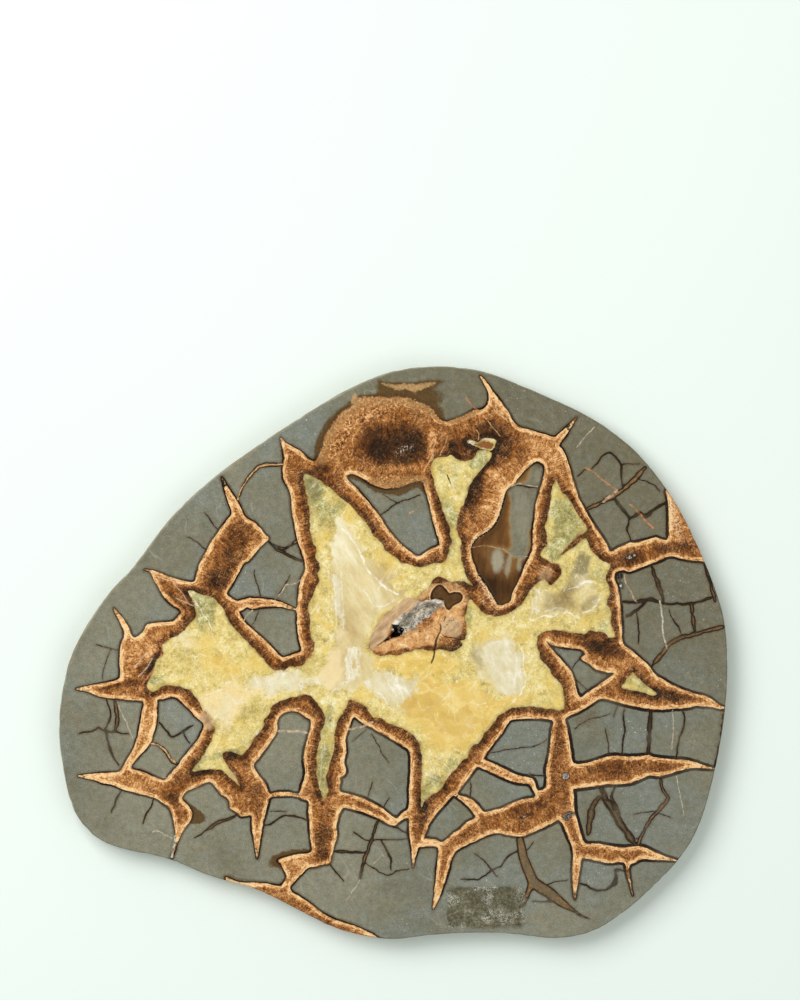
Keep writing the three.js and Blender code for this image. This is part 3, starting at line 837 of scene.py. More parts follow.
stone = {
    "pocketDepth": 4.6 * mm,
    "pocketWall": 4.0,  # squares from the pocket's edge to its full depth
    "pocketRoughness": 1.5 * mm,
    # noises that shape a floor or the skin: how fine, and how strong
    "pocketBumps": [(0.22, 1), (0.6, 0.6), (1.3, 0.35)],
    "roughDepth": 0.25 * mm,
    "roughLevel": 0.6,
    "roughDips": [(0.35, 1), (0.9, 0.7)],
    "skinPitting": 0.45 * mm,
    "skinPits": [(1, 1), (3.1, 0.6)],
    "pitsPerMetre": 160,
    "backDrift": (1.6, -1.2),  # squares that the veins wander from face to back
    # squares that noise pushes the edges of soft patches: in the filling's own patches, and in the others
    "cloudStray": 4.5,
    "spotStray": 1.3,
    "straySeed": 3,
    "cloudPatches": ("milk", "honey", "peach", "moss", "shade"),
    "cloudAreas": ("milk", "honey", "peach", "sheet"),
    "strayNoises": [(0.06, 1.5), (0.21, 1), (0.5, 0.5)],
    "patchFade": (0.45, 1.35),  # where a patch starts and ends fading, for a half width of 1
    "crackSwell": 0.6,
    "roughEdge": (-0.8, 1.2),
    "glintEdge": (-1.5, 2.5),
    "smoothAngle": math.radians(32),
}
# the flat map: the face in the left half, the back in the right, the skin in a strip below
stoneMap = {
    "face": 0.66, "back": 0.32, "backStart": 0.67, "aboveSkin": 0.08, "skinLength": 0.97, "skinHeight": 0.05,
}


def softStep(value, low, high):
    t = np.clip((value - low) / (high - low), 0, 1)
    return t * t * (3 - 2 * t)


def bumps(at, layers):
    return sum(strength * noise.noise(at * fineness) for fineness, strength in layers)


def patchField(text, points):
    clear = np.ones(len(points))
    for x, y, halfWidth, halfHeight, turn, strength in drawn(text):
        c, s = math.cos(math.radians(turn)), math.sin(math.radians(turn))
        dx, dy = points[:, 0] - x, points[:, 1] - y
        reach = np.hypot((dx * c + dy * s) / halfWidth, (dy * c - dx * s) / halfHeight)
        clear *= 1 - strength * (1 - softStep(reach, *stone["patchFade"]))
    return 1 - clear


def areaField(outlines, points, field):
    clear = 1 - field
    for blur, strength, text in outlines:
        depth, _ = signedDistance(points, smoothRoute(text, True, grid["areaStep"]))
        clear *= 1 - strength * softStep(depth, -blur, blur)
    return 1 - clear


def signedDistance(points, *rings):
    # in squares, and more than 0 inside
    distance, foot, _ = Lines([closing(ring) for ring in rings]).near(points)
    inside = np.any([insideOf(points, ring) for ring in rings], axis=0)
    return np.where(inside, distance, -distance), foot


def strokeField(points, routes, rows, uneven=0.0):
    # distance to the edge of the nearest stroke; an uneven one swells, and thins at its ends
    lines = Lines(routes, values=[(width / 2, tone) for width, tone, _ in rows])
    if uneven:
        middles = (lines.a + lines.b) / 2
        swell = np.array([1 + uneven * noise.noise(Vector((x * 0.16, y * 0.16, 3))) for x, y in middles])
        ends = np.concatenate([np.minimum(np.arange(len(r) - 1), np.arange(len(r) - 1)[::-1]) for r in routes])
        lines.value[:, 0] *= swell * (1 - uneven * np.exp(-ends / 1.5))
    distance, _, value = lines.near(points)
    return distance - value[:, 0], value[:, 1]


def pushed(points):
    # a noise that moves each point, coarse and fine; without a seed it differs at every run
    noise.seed_set(stone["straySeed"])
    found = []
    for x, y in points:
        at, push = Vector((x, y, 0)), Vector((0, 0, 0))
        for fineness, strength in stone["strayNoises"]:
            push += noise.noise_vector(at * fineness) * strength
        found.append(push[:2])
    return np.array(found)


def softFields(points):
    # how strongly each patch and area reaches each point
    push, fields = pushed(points), {}
    for name, text in patches.items():
        reach = stone["cloudStray" if name in stone["cloudPatches"] else "spotStray"]
        fields[name] = patchField(text, points + push * reach)
    for name, outlines in areas.items():
        reach = stone["cloudStray" if name in stone["cloudAreas"] else "spotStray"]
        start = fields.get(name, np.zeros(len(points)))
        fields[name] = areaField(outlines, points + push * reach, start)
    return fields


def stoneFields(points):
    # everything the materials read, at each point of the drawing; lengths in millimetres
    network, islandDepth, crystal, rough, pocket, heart, lens = (
        signedDistance(points, *rings)[0] for rings in (
            [networkRing], islandRings, calciteRings, [roughRing], [pocketRing], [heartRing], lensRings))
    toWalls, foot = signedDistance(points, networkRing, *islandRings)
    wall = np.where((network > 0) & ~(islandDepth > 0), np.abs(toWalls), -np.abs(toWalls))
    crack, crackTone = strokeField(points, crackRoutes, cracks, stone["crackSwell"])
    for (tone, _), ring in zip(lodes, lodeRings):
        lode = -signedDistance(points, ring)[0]
        crackTone = np.where(lode < crack, tone, crackTone)
        crack = np.minimum(crack, lode)
    pale, paleTone = strokeField(points, paleRoutes, paleLines)
    veil, veilPower = strokeField(points, veilRoutes, veils)
    glint, glintPower = strokeField(points, glintRoutes, glints)
    lensTone = strokeField(points, [closing(ring) for ring in lensRings], [(0, *row) for row in lenses])[1]
    lengths = {
        "heart": heart, "lens": lens, "wall": wall, "crystal": crystal,
        "crack": crack, "paleLine": pale, "veil": veil,
    }
    fields = softFields(points)
    fields.update({name: squares * drawingUnit for name, squares in lengths.items()})
    fields.update({
        "lensTone": lensTone, "crackTone": crackTone, "paleTone": paleTone, "veilPower": veilPower,
        "glint": glintPower * (1 - softStep(glint, *stone["glintEdge"])),
        "rough": softStep(rough, *stone["roughEdge"]), "pocket": softStep(pocket, 0, stone["pocketWall"]),
    })
    return fields, foot * drawingUnit


def facing(corners, triangles, up):
    a, b, c = (corners[triangles[:, k]] for k in range(3))
    area = (b[:, 0] - a[:, 0]) * (c[:, 1] - a[:, 1]) - (b[:, 1] - a[:, 1]) * (c[:, 0] - a[:, 0])
    turned = triangles.copy()
    wrong = (area > 0) != up
    turned[wrong] = turned[wrong][:, ::-1]
    return turned


def skinRings(rings):
    # rings between the back and the face, at the plain slice's heights and halfway between, pitted by noise
    heights = np.array([height for height, _ in rings])
    outlines = np.array([outline for _, outline in rings])
    found = []
    for height in np.sort(np.concatenate([heights[1:-1], (heights[:-2] + heights[1:-1]) / 2])):
        after = int(np.searchsorted(heights, height))
        share = (height - heights[after - 1]) / (heights[after] - heights[after - 1])
        ring = []
        for x, y in outlines[after - 1] * (1 - share) + outlines[after] * share:
            depth = bumps(Vector((x, y, height)) * stone["pitsPerMetre"], stone["skinPits"])
            keep = 1 - stone["skinPitting"] * max(0, depth) / math.hypot(x, y)
            ring.append((x * keep, y * keep, height))
        found.append(ring)
    return np.array(found)


def stoneShape():
    # places are on the drawing, for the fields; side is 0 on the face, 1 on the back and 2 on the skin
    rings = rimRings()
    facePoints, faceTriangles, faceRing = triangulated(toSquares(rings[-1][1]), grid["face"])
    backPoints, backTriangles, backRing = triangulated(toSquares(rings[0][1]), grid["back"])
    print("triangulated the face and the back:", len(faceTriangles), len(backTriangles))
    faceXy, backXy, skinXyz = toMetres(facePoints), toMetres(backPoints), skinRings(rings)
    backStart, skinStart = len(faceXy), len(faceXy) + len(backXy)
    skinRows = np.arange(skinXyz.size // 3).reshape(skinXyz.shape[:2]) + skinStart
    rows = [backRing + backStart, *skinRows, faceRing]
    rim = []
    for low, high in zip(rows[:-1], rows[1:]):
        lowNext, highNext = np.roll(low, -1), np.roll(high, -1)
        rim.append(np.column_stack([low, lowNext, highNext]))
        rim.append(np.column_stack([low, highNext, high]))
    triangles = np.concatenate([
        facing(faceXy, faceTriangles, True), facing(backXy, backTriangles, False) + backStart, *rim])
    drift = np.array(stone["backDrift"])
    skinXyz = skinXyz.reshape(-1, 3)
    places = np.concatenate([
        facePoints, backPoints + drift,
        toSquares(skinXyz[:, :2]) + drift * (1 - skinXyz[:, 2:] / faceTop)])
    heights = np.concatenate([np.full(len(faceXy), faceTop), np.zeros(len(backXy)), skinXyz[:, 2]])
    xyz = np.column_stack([np.concatenate([faceXy, backXy, skinXyz[:, :2]]), heights])
    side = np.repeat([0, 1, 2], [len(faceXy), len(backXy), len(skinXyz)])
    return xyz, triangles, places, side, skinRows[-1]


def sinkFloors(xyz, places, fields):
    for i in np.nonzero(fields["pocket"] > 0)[0]:
        bump = bumps(Vector((*places[i], 0)), stone["pocketBumps"]) * stone["pocketRoughness"]
        xyz[i, 2] -= fields["pocket"][i] * (stone["pocketDepth"] + bump)
    for i in np.nonzero(fields["rough"] > 0)[0]:
        dip = stone["roughLevel"] + bumps(Vector((*places[i], 3)), stone["roughDips"])
        xyz[i, 2] -= fields["rough"][i] * stone["roughDepth"] * max(0, dip)


def newPiece(name, mesh):
    piece = bpy.data.objects.new(name, mesh)
    bpy.context.scene.collection.objects.link(piece)
    return piece


def handOver(piece):
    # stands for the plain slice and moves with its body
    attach(piece, bodyName)
    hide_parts(sliceNode)


def makeStone():
    xyz, triangles, places, side, topSkinRow = stoneShape()
    fields, foot = stoneFields(places)
    fields["skin"] = np.where(side == 2, 1.0, 0.0)
    fields["skin"][topSkinRow] = 0.5
    fields["sawn"] = np.where(side == 1, 1.0, 0.0)
    for name in ("pocket", "rough"):
        fields[name][side > 0] = 0
    sinkFloors(xyz, places, fields)
    isCalcite = signedDistance(places[triangles].mean(1), *calciteRings)[0] > 0
    mesh = bpy.data.meshes.new("septarianStone")
    mesh.from_pydata(xyz.tolist(), [], triangles.tolist())
    for name, values in fields.items():
        mesh.attributes.new(name, "FLOAT", "POINT").data.foreach_set("value", values.astype(np.float32))
    footing = np.column_stack([foot, np.zeros(len(foot))]).astype(np.float32)
    mesh.attributes.new("foot", "FLOAT_VECTOR", "POINT").data.foreach_set("vector", footing.ravel())
    mesh.materials.append(stoneFinish())
    mesh.materials.append(calciteFinish())
    mesh.polygons.foreach_set("material_index", isCalcite.astype(np.int32))
    mapStone(mesh, xyz, side)
    piece = newPiece("septarianStone", mesh)
    bpy.ops.object.select_all(action="DESELECT")
    piece.select_set(True)
    bpy.context.view_layer.objects.active = piece
    bpy.ops.object.shade_smooth_by_angle(angle=stone["smoothAngle"])
    mesh.validate()
    handOver(piece)
    print("stone made:", len(mesh.vertices), "points,", len(mesh.polygons), "triangles")
    return piece


def mapStone(mesh, xyz, side):
    layer = mesh.uv_layers.new(name="stoneMap")
    loops = np.empty(len(mesh.loops), np.int32)
    mesh.loops.foreach_get("vertex_index", loops)
    corner = loops.reshape(-1, 3)
    width = cadBox[1].x - cadBox[0].x
    across, up = (xyz[:, k][corner] / width + 0.5 for k in range(2))
    turn = (np.arctan2(xyz[:, 1], xyz[:, 0]) / (2 * math.pi) + 0.5)[corner]
    # a triangle that crosses the seam is kept in one piece
    turn = np.where((turn.max(1) - turn.min(1) > 0.5)[:, None] & (turn < 0.5), turn + 1, turn)
    s, kind = stoneMap, side[corner].max(1)[:, None]
    isBack, isSkin = kind == 1, kind == 2
    u = np.where(isBack, s["backStart"] + across * s["back"], across * s["face"])
    v = s["aboveSkin"] + up * np.where(isBack, s["back"], s["face"])
    u = np.where(isSkin, turn * s["skinLength"], u)
    v = np.where(isSkin, xyz[:, 2][corner] / faceTop * s["skinHeight"], v)
    layer.data.foreach_set("uv", np.column_stack([u.ravel(), v.ravel()]).astype(np.float32).ravel())


def tint(red, green, blue):
    # screen values 0 to 255, as the linear colour that shaders want
    linear = [(v / 255 / 12.92 if v < 10.3 else ((v / 255 + 0.055) / 1.055) ** 2.4) for v in (red, green, blue)]
    return (*linear, 1)


def shades(text):
    # the stops of a colour ramp: place, then red,green,blue
    words = text.split()
    return [(float(at), tint(*map(int, rgb.split(",")))) for at, rgb in zip(words[::2], words[1::2])]


class Finish:
    # a material and short ways of adding nodes to it
    def __init__(self, name):
        self.material = bpy.data.materials.new(name)
        self.material.use_nodes = True
        self.tree = self.material.node_tree
        self.shader = self.tree.nodes["Principled BSDF"]

    def put(self, socket, value):
        if isinstance(value, bpy.types.NodeSocket):
            self.tree.links.new(value, socket)
        elif value is not None:
            socket.default_value = value

    def dress(self, colour, roughness, settings):
        self.put(self.shader.inputs["Base Color"], colour)
        self.put(self.shader.inputs["Roughness"], roughness)
        for name, value in settings.items():
            self.shader.inputs[name].default_value = value

    def add(self, kind, **settings):
        node = self.tree.nodes.new("ShaderNode" + kind)
        for name, value in settings.items():
            setattr(node, name, value)
        return node

    def filled(self, node, names, values):
        for name, value in zip(names, values):
            self.put(node.inputs[name], value)
        return node.outputs[0]

    def field(self, name, vector=False):
        node = self.add("Attribute", attribute_name=name)
        return node.outputs["Vector" if vector else "Fac"]

    def place(self):
        return self.add("TexCoord").outputs["Object"]

    def parts(self, kind, value):
        node = self.add(kind)
        self.put(node.inputs[0], value)
        return node.outputs

    def turned(self, degrees, stretch):
        # the piece's own coordinates, for a pattern drawn out along y and then turned to the left
        turn, scale = (0, 0, math.radians(degrees)), (1, stretch, 1)
        node = self.add("Mapping", vector_type="TEXTURE")
        return self.filled(node, ("Vector", "Rotation", "Scale"), (self.place(), turn, scale))

    def sum(self, operation, a, b=None, clamp=False):
        node = self.add("Math", operation=operation, use_clamp=clamp)
        return self.filled(node, (0, 1), (a, b))

    def plus(self, total, *values):
        for value in values:
            total = self.sum("ADD", total, value)
        return total

    def times(self, total, *values):
        for value in values:
            total = self.sum("MULTIPLY", total, value)
        return total

    def size(self, value):
        return self.sum("ABSOLUTE", value)

    def step(self, value, low, high, fromValue=0.0, toValue=1.0):
        node = self.add("MapRange", interpolation_type="SMOOTHSTEP")
        names = ("Value", "From Min", "From Max", "To Min", "To Max")
        return self.filled(node, names, (value, low, high, fromValue, toValue))

    def has(self, name, *limits):
        return self.step(self.field(name), *limits)

    def level(self, share, a, b):
        return self.filled(self.add("Mix"), (0, 2, 3), (share, a, b))

    def blend(self, share, a, b, how="MIX"):
        node = self.add("Mix", data_type="RGBA", blend_type=how)
        self.filled(node, (0, 6, 7), (share, a, b))
        return node.outputs[2]

    def ramp(self, value, stops):
        node = self.add("ValToRGB")
        ramp = node.color_ramp
        while len(ramp.elements) < len(stops):
            ramp.elements.new(0.5)
        for element, (position, colour) in zip(ramp.elements, stops):
            element.position, element.color = position, colour
        return self.filled(node, (0,), (value,))

    def cloud(self, scale, detail=3.0, roughness=0.55, distortion=0.0, at=None):
        node = self.add("TexNoise")
        names = ("Vector", "Scale", "Detail", "Roughness", "Distortion")
        return self.filled(node, names, (at or self.place(), scale, detail, roughness, distortion))

    def cells(self, scale, output="Color", feature="F1", at=None):
        node = self.add("TexVoronoi", feature=feature)
        self.filled(node, ("Vector", "Scale"), (at or self.place(), scale))
        return node.outputs[output]

    def strayed(self, scale, amount):
        # the piece's own coordinates, pushed about by a noise
        noise = self.add("TexNoise")
        self.filled(noise, ("Vector", "Scale"), (self.place(), scale))
        node = self.add("VectorMath", operation="MULTIPLY_ADD")
        return self.filled(node, (0, 1, 2), (noise.outputs["Color"], (amount,) * 3, self.place()))

    def around(self, value, amount):
        # a noise of 0 to 1 as a small shift either way
        return self.sum("MULTIPLY", self.sum("SUBTRACT", value, 0.5), amount)

    def wobble(self, noise):
        # the same of a noise that has its amount first
        amount, *noise = noise
        return self.around(self.cloud(*noise), amount)

    def uneven(self, value, *noises):
        for noise in noises:
            value = self.plus(value, self.wobble(noise))
        return value

    def spots(self, limits, *noise, at=None):
        # a noise cut into patches between two limits, and the values there if they aren't 0 and 1
        return self.step(self.cloud(*noise, at=at), *limits)

    def thread(self, value, width, most=1):
        # most where a noise crosses its middle, as thin winding lines
        return self.step(self.size(self.around(value, 1.0)), 0, width, most, 0)

    def grained(self, colour, low, high, darkest, lightest, *noise, value=None):
        # multiplies a colour by a grey that runs from darkest to lightest
        stops = [(low, (darkest, darkest, darkest * 0.97, 1)), (high, (lightest, lightest, lightest, 1))]
        return self.blend(1.0, colour, self.ramp(value or self.cloud(*noise), stops), "MULTIPLY")

    def clouded(self, colour, tones, layers):
        # soft clouds of other tones, one over the other
        for tone, limits, *noise in layers:
            colour = self.blend(self.spots(limits, *noise), colour, tones[tone])
        return colour

    def covered(self, colour, name, look, over=None):
        # another look where a patch is drawn, its edge made uneven by noise
        share = self.step(self.uneven(self.field(name), *look["edge"]), *look["cut"])
        return self.blend(share, colour, over or self.grained(look["tone"], *look["grain"]))


# Lengths in these materials are millimetres from a wall, and a minus sign is the limestone's side.
# A noise is its scale per metre, detail, roughness and distortion, and an edge's noises have an amount first.
# Limits are where a soft step starts and ends, and the values there if they aren't 0 and 1.
# A grain is low, high, darkest, lightest and its noise.
limestone = {
    "body": tint(131, 128, 110),
    "dark": tint(112, 110, 94),
    # olive is the stone's own tone, and also the painted shade towards the upper right
    "olive": tint(106, 100, 80),
    "blue": tint(123, 128, 121),
    "cool": tint(122, 128, 126),
    "warm": tint(136, 118, 88),
    "dust": tint(200, 196, 178),
    "line": tint(30, 20, 11),
    "edge": tint(74, 52, 28),
    "clouds": [
        ("dark", (0.35, 0.7), 14, 4), ("blue", (0.46, 0.66, 0, 0.75), 26), ("olive", (0.5, 0.75, 0, 0.5), 34),
    ],
    "paintedShadeCorner": (0.04, 0.17, 0, 0.85),  # painted shade: the limestone darkens to olive towards the upper right, where less light falls; metres along x and y together
    "freckles": [("cool", (0.48, 0.62, 0, 0.2), 240, 4, 0.7), ("warm", (0.50, 0.64, 0, 0.2), 310, 4, 0.7, 0.5)],
    "grains": [
        (0.3, 0.7, 0.74, 1.25, 2400, 2, 0.7), (0.35, 0.65, 0.87, 1.12, 420, 4, 0.65),
        (0.35, 0.65, 0.94, 1.05, 130, 3, 0.6),
    ],
    "dusty": ((0.48, 0.7, 0, 0.75), 26, 2),
    "dustSpecks": ((0.66, 0.72), 1100, 2, 0.6),
    "scratches": (46, 2),
    "scratchTurn": (35, 5),
    "scratched": ((0.5, 0.62), 60, 2),
    "stain": {
        "tone": tint(88, 64, 32), "grain": (0.3, 0.7, 0.7, 1.25, 900),
        "edge": [(0.5, 260), (0.7, 1500, 2)], "cut": (0.08, 0.62, 0, 0.95),
    },
    "sand": {
        "tone": tint(190, 150, 102), "grain": (0.3, 0.7, 0.70, 1.1, 900),
        "edge": [(1.1, 1100, 3, 0.7)], "cut": (0.3, 0.8, 0, 0.85),
    },
    # the amber block, from its pale border to its dark middle
    "amber": shades("0 146,138,112  0.25 146,120,82  0.45 126,90,48  0.68 98,64,30  1 54,34,16"),
    "amberTurn": (-6, 5),
    "frost": tint(158, 151, 127),
    "edgeStray": [(1.2, 900, 3, 0.7), (1.4, 120, 2)],
    "edgeCut": (-1.6, -0.8),
}
# the lines and cracks that cross the whole face
lines = {
    "wallStray": (0.45, 1100),
    "softStray": (1300, 2, 0.7),
    "softReach": 3.4,
    "inside": 0.14,  # where the dark line along a wall ends in the vein
    "outside": 0.8,  # and in the limestone
    "thinOutside": 0.6,
    "bold": 0.75,
    "swell": (90, 2),
    "weight": ((0.32, 0.6, 0.5, 1.0), 60, 2),
    # from a crack's dark core to its tan one
    "crackTones": shades("0 46,31,16  0.35 84,64,40  0.6 124,92,56  0.9 176,132,84"),
    "crackStray": (0.5, 900),
    "coreStray": [(0.9, 900), (0.5, 100, 2)],
    "crackWeight": ((0.3, 0.55, 0.6, 0.95), 110, 2),
    "chalk": tint(208, 196, 170),
    "rust": tint(196, 128, 84),
    "paleStray": (0.6, 1000, 2),
    "paleWeight": ((0.35, 0.6, 0.15, 0.85), 600, 3, 0.7),
}
veinFill = {
    # from the tan along the limestone to the darkest brown
    "tones": shades("""0 238,202,150  0.16 212,160,102  0.34 168,108,52  0.52 125,73,29  0.72 84,47,18
        1 34,20,9"""),
    "border": (1.0, 2.2),  # how deep the tan reaches
    "borderStray": (0.8, 1000, 2),
    "darkBorder": (-2.8, -1.5),  # how deep the dark brown along the clear filling reaches
    "darkStray": (1.0, 800, 2),
    # fibres stand on the wall and bands lie along it: noise, run along the wall, depth
    "fibres": ((1.7, 3, 0.65), 1.0, 0.16),
    "bands": ((2.6, 2, 0.6), 0.14, 1.0),
    "blotches": (300, 4, 0.65),
    "mottle": [(0.75, 1250, 3, 0.7, 1.6), (0.35, 2300, 2, 0.7), (0.95, 560, 3, 0.65, 1.2)],
    "drift": (0.6, 130, 3, 0.6),
    "softDepth": (0.2, 7.5),  # how far the soft part goes from sand to brown
    "pores": [(1.9, 1000, 2, 0.6, 1.2), (1.3, 480, 3, 0.7, 1.5)],
    "thread": tint(230, 178, 122),
    "seam": ((0.40, 0.58), 140, 2),
    "sand": tint(146, 111, 70),
    "sandy": ((0.38, 0.58, 0.15, 1), 900, 3, 0.7),
    "sandGrain": (0.38, 0.62, 0.42, 1.34, 850, 4, 0.8, 0.8),
    # winding pale threads: scale, width, strength
    "threads": [(330, 0.022, 0.8), (620, 0.03, 0.6)],
}
lining = {
    "lip": {"edge": [(0.9, 350, 4, 0.7)], "cut": (0.3, 0.8, 0, 0.9)},
    "lipTones": shades("0.32 152,98,54  0.45 202,148,92  0.58 224,178,122  0.7 242,216,172"),
    "lipNoise": (520, 4, 0.7, 0.8),
    "pink": tint(194, 160, 121),
    "pinkTurn": (-42, 4),
    "pinkEdge": (0.9, 420, 4, 0.7),
    "heart": tint(84, 57, 29),
    "heartGrain": (0.3, 0.7, 0.7, 1.35, 500),
    "heartEdge": (0.4, 900, 2),
    "halo": tint(236, 200, 156),
    "haloPatches": ((0.42, 0.6, 0.15, 1), 200, 2),
    "pepper": ((0.34, 0.40, 1, 0), 1100, 2, 0.6),
}
# the grey glitter in the pocket, in the small lenses and in scattered specks
glitter = {
    "lensEdge": (0.5, 900, 2),
    "lensTones": shades("0.15 24,19,14  0.45 110,98,88  0.8 176,168,160  1 232,228,220"),
    "lensNoise": (2.4, 1500, 3, 0.8),
    "speck": tint(204, 194, 176),
    "specks": (1250, 3, 0.7),
    "silver": {"edge": [(0.6, 420, 4, 0.7)], "cut": (0.35, 0.6)},
    "silverTones": shades("0.31 62,58,55  0.41 148,142,134  0.52 204,195,176  0.64 250,243,226"),
    "silverNoise": (380, 5, 0.75),
    "silverTurn": (-60, 2),
    # painted shade: the near-black colour of the pocket's deep holes
    "hole": {"edge": [(0.7, 700, 3, 0.7)], "cut": (0.35, 0.6)},
    "paintedHoleShade": tint(15, 12, 10),
}
roughSquare = {
    "tones": shades("0.34 62,57,38  0.52 90,84,62  0.66 132,128,104"),
    "noise": (900, 4, 0.8),
    "drift": (0.3, 110, 2),
    # painted glints: winding white lines that stand in for the sparkle on the rough square
    "paintedGlint": tint(236, 236, 222),
    "paintedGlintNoise": (330, 3, 0.75, 2.2),
    "paintedGlintWidth": 0.035,
    "paintedGlintPatches": ((0.46, 0.60, 0, 0.8), 80, 3, 0.6),
    "strength": 0.92,
}
skin = {
    "crust": tint(158, 152, 130),
    "rust": tint(132, 112, 80),
    "rusty": ((0.4, 0.7), 70, 5, 0.7),
    "sawDust": tint(176, 172, 158),
    "dustiness": 0.32,
}
stonePolish = {
    "gloss": ((0.3, 0.7, 0.22, 0.36), 180, 3),
    # the roughness where the stone isn't polished
    "matt": {"rough": 0.75, "pocket": 0.5, "skin": 0.85, "sawn": 0.62},
    "grit": (900, 4, 0.7),
    "gritStrength": 0.6,
    "gritHeight": 0.4 * mm,
    "sawnGrit": 0.35,
}


def limestoneColour(f, wall):
    l = limestone
    x, y, _ = f.parts("SeparateXYZ", f.place())
    colour = f.clouded(l["body"], l, l["clouds"])
    # painted shade: olive darkening towards the upper right, standing in for the light falling off
    colour = f.blend(f.step(f.plus(x, y), *l["paintedShadeCorner"]), colour, l["olive"])
    colour = f.clouded(colour, l, l["freckles"])
    for grain in l["grains"]:
        colour = f.grained(colour, *grain)
    dusty = f.plus(f.spots(*l["dusty"]), f.field("glint"))
    colour = f.blend(f.times(f.spots(*l["dustSpecks"]), dusty), colour, l["dust"])
    scratch = f.thread(f.cloud(*l["scratches"], at=f.turned(*l["scratchTurn"])), 0.004, 0.18)
    colour = f.blend(f.times(scratch, f.spots(*l["scratched"])), colour, l["dust"])
    colour = f.covered(colour, "stain", l["stain"])
    streaks = f.cloud(170, 3, 0.6, at=f.turned(*l["amberTurn"]))
    amberNoise = f.uneven(f.around(streaks, 1.0), (0.16, 1300, 2), (0.3, 90))
    amber = f.plus(f.field("amber"), f.times(amberNoise, f.has("amber", 0, 0.3)))
    colour = f.blend(f.step(amber, 0.0, 0.42), colour, f.ramp(amber, l["amber"]))
    frost = f.plus(f.field("frost"), f.around(f.cloud(650, 3, 0.7, at=f.turned(*l["amberTurn"])), 0.45))
    colour = f.blend(f.times(f.step(frost, 0.2, 1.0), f.has("frost", 0, 0.2)), colour, l["frost"])
    colour = f.covered(colour, "sand", l["sand"])
    edge = f.step(f.uneven(wall, *l["edgeStray"]), *l["edgeCut"])
    return f.blend(f.times(edge, f.has("thin", 0, 1, 0.5, 0.25)), colour, l["edge"])


def veinColour(f, wall, crystal):
    v = veinFill
    footX, footY, _ = f.parts("SeparateXYZ", f.field("foot", vector=True))

    def onWall(noise, run, depth):
        node = f.add("CombineXYZ")
        at = (f.times(footX, run), f.times(footY, run), f.times(f.field("wall"), depth))
        return f.cloud(*noise, at=f.filled(node, (0, 1, 2), at))

    fibres, bands = onWall(*v["fibres"]), onWall(*v["bands"])
    soft, dark, pale = f.field("softWall"), f.field("dark"), f.field("pale")
    blotch = f.cloud(*v["blotches"])
    depth = f.plus(f.uneven(f.plus(wall, f.around(blotch, 1.3)), v["borderStray"]), f.times(soft, -3.4))
    inner = f.step(depth, *v["border"])
    nearCrystal = f.step(f.uneven(crystal, v["darkStray"]), *v["darkBorder"])
    mottle = f.uneven(f.wobble(v["mottle"][0]), *v["mottle"][1:])
    tone = f.plus(
        0.15, f.times(inner, 0.34), f.times(nearCrystal, 0.25), f.times(dark, 0.5), f.times(pale, -0.30),
        f.times(soft, 0.3),
        f.times(f.around(fibres, 1.1), f.level(inner, 0.4, 1.0)),
        f.times(f.around(bands, 1.6), f.level(inner, 1.0, 0.2), f.step(soft, 0, 0.6, 1, 0.1)),
        f.times(mottle, f.step(dark, 0.1, 0.8, 1, 0.55)),
        f.wobble(v["drift"]))
    # where the brown grew as a soft ball it darkens slowly inwards and is full of pores
    softDepth = f.step(f.plus(f.field("wall"), f.around(blotch, 3.0)), *v["softDepth"])
    pores = f.uneven(f.wobble(v["pores"][0]), *v["pores"][1:])
    softTone = f.plus(
        0.34, f.times(softDepth, 0.17), f.times(dark, 0.36), f.times(pale, -0.2),
        f.times(pores, f.level(softDepth, 0.5, 1.0), f.step(dark, 0.2, 0.9, 1, 0.4)))
    isSoft = f.step(soft, 0.05, 0.5)
    tone = f.level(isSoft, tone, softTone)
    seam = f.times(f.thread(f.plus(wall, -0.1), 0.28), f.spots(*v["seam"]), f.step(soft, 0, 0.6, 1, 0), 0.7)
    colour = f.blend(seam, f.ramp(tone, v["tones"]), v["thread"])
    sandy = f.times(isSoft, f.step(softDepth, 0.1, 0.75, 0.9, 0), f.spots(*v["sandy"]))
    colour = f.blend(sandy, colour, f.grained(v["sand"], *v["sandGrain"]))
    for scale, width, power in v["threads"]:
        winding = f.thread(f.cloud(scale, 2, 0.6, 1.4), width)
        kept = f.spots((0.40, 0.58, 0.1, 1), scale / 4, 2)
        colour = f.blend(f.times(winding, kept, f.step(tone, 0.3, 1.0, power, power * 0.2)), colour, v["thread"])
    return colour


def pinkColour(f):
    streaky = f.uneven(f.cloud(800, 3, 0.7, at=f.turned(*lining["pinkTurn"])), (0.5, 160))
    return f.grained(lining["pink"], 0.34, 0.66, 0.68, 1.24, value=streaky)


def liningColour(f, colour):
    # the pale lip round the pocket, its pink lining, the dark heart beside it and black pepper
    n = lining
    colour = f.covered(colour, "lip", n["lip"], f.ramp(f.cloud(*n["lipNoise"]), n["lipTones"]))
    pinkShare = f.step(f.uneven(f.field("pink"), n["pinkEdge"]), 0.25, 0.7)
    colour = f.blend(f.times(pinkShare, f.has("pink", 0.2, 0.9, 0.3, 0.95)), colour, pinkColour(f))
    heart = f.uneven(f.field("heart"), n["heartEdge"])
    halo = f.step(f.size(f.plus(heart, 0.8)), 0.08, 0.32, 0.75, 0)
    colour = f.blend(f.times(halo, f.spots(*n["haloPatches"])), colour, n["halo"])
    colour = f.blend(f.step(heart, 0.1, 0.4), colour, f.grained(n["heart"], *n["heartGrain"]))
    colour = f.blend(f.step(f.size(heart), 0.2, 0.5, 0.95, 0), colour, limestone["line"])
    return f.blend(f.times(f.spots(*n["pepper"]), f.field("pepper")), colour, limestone["line"])


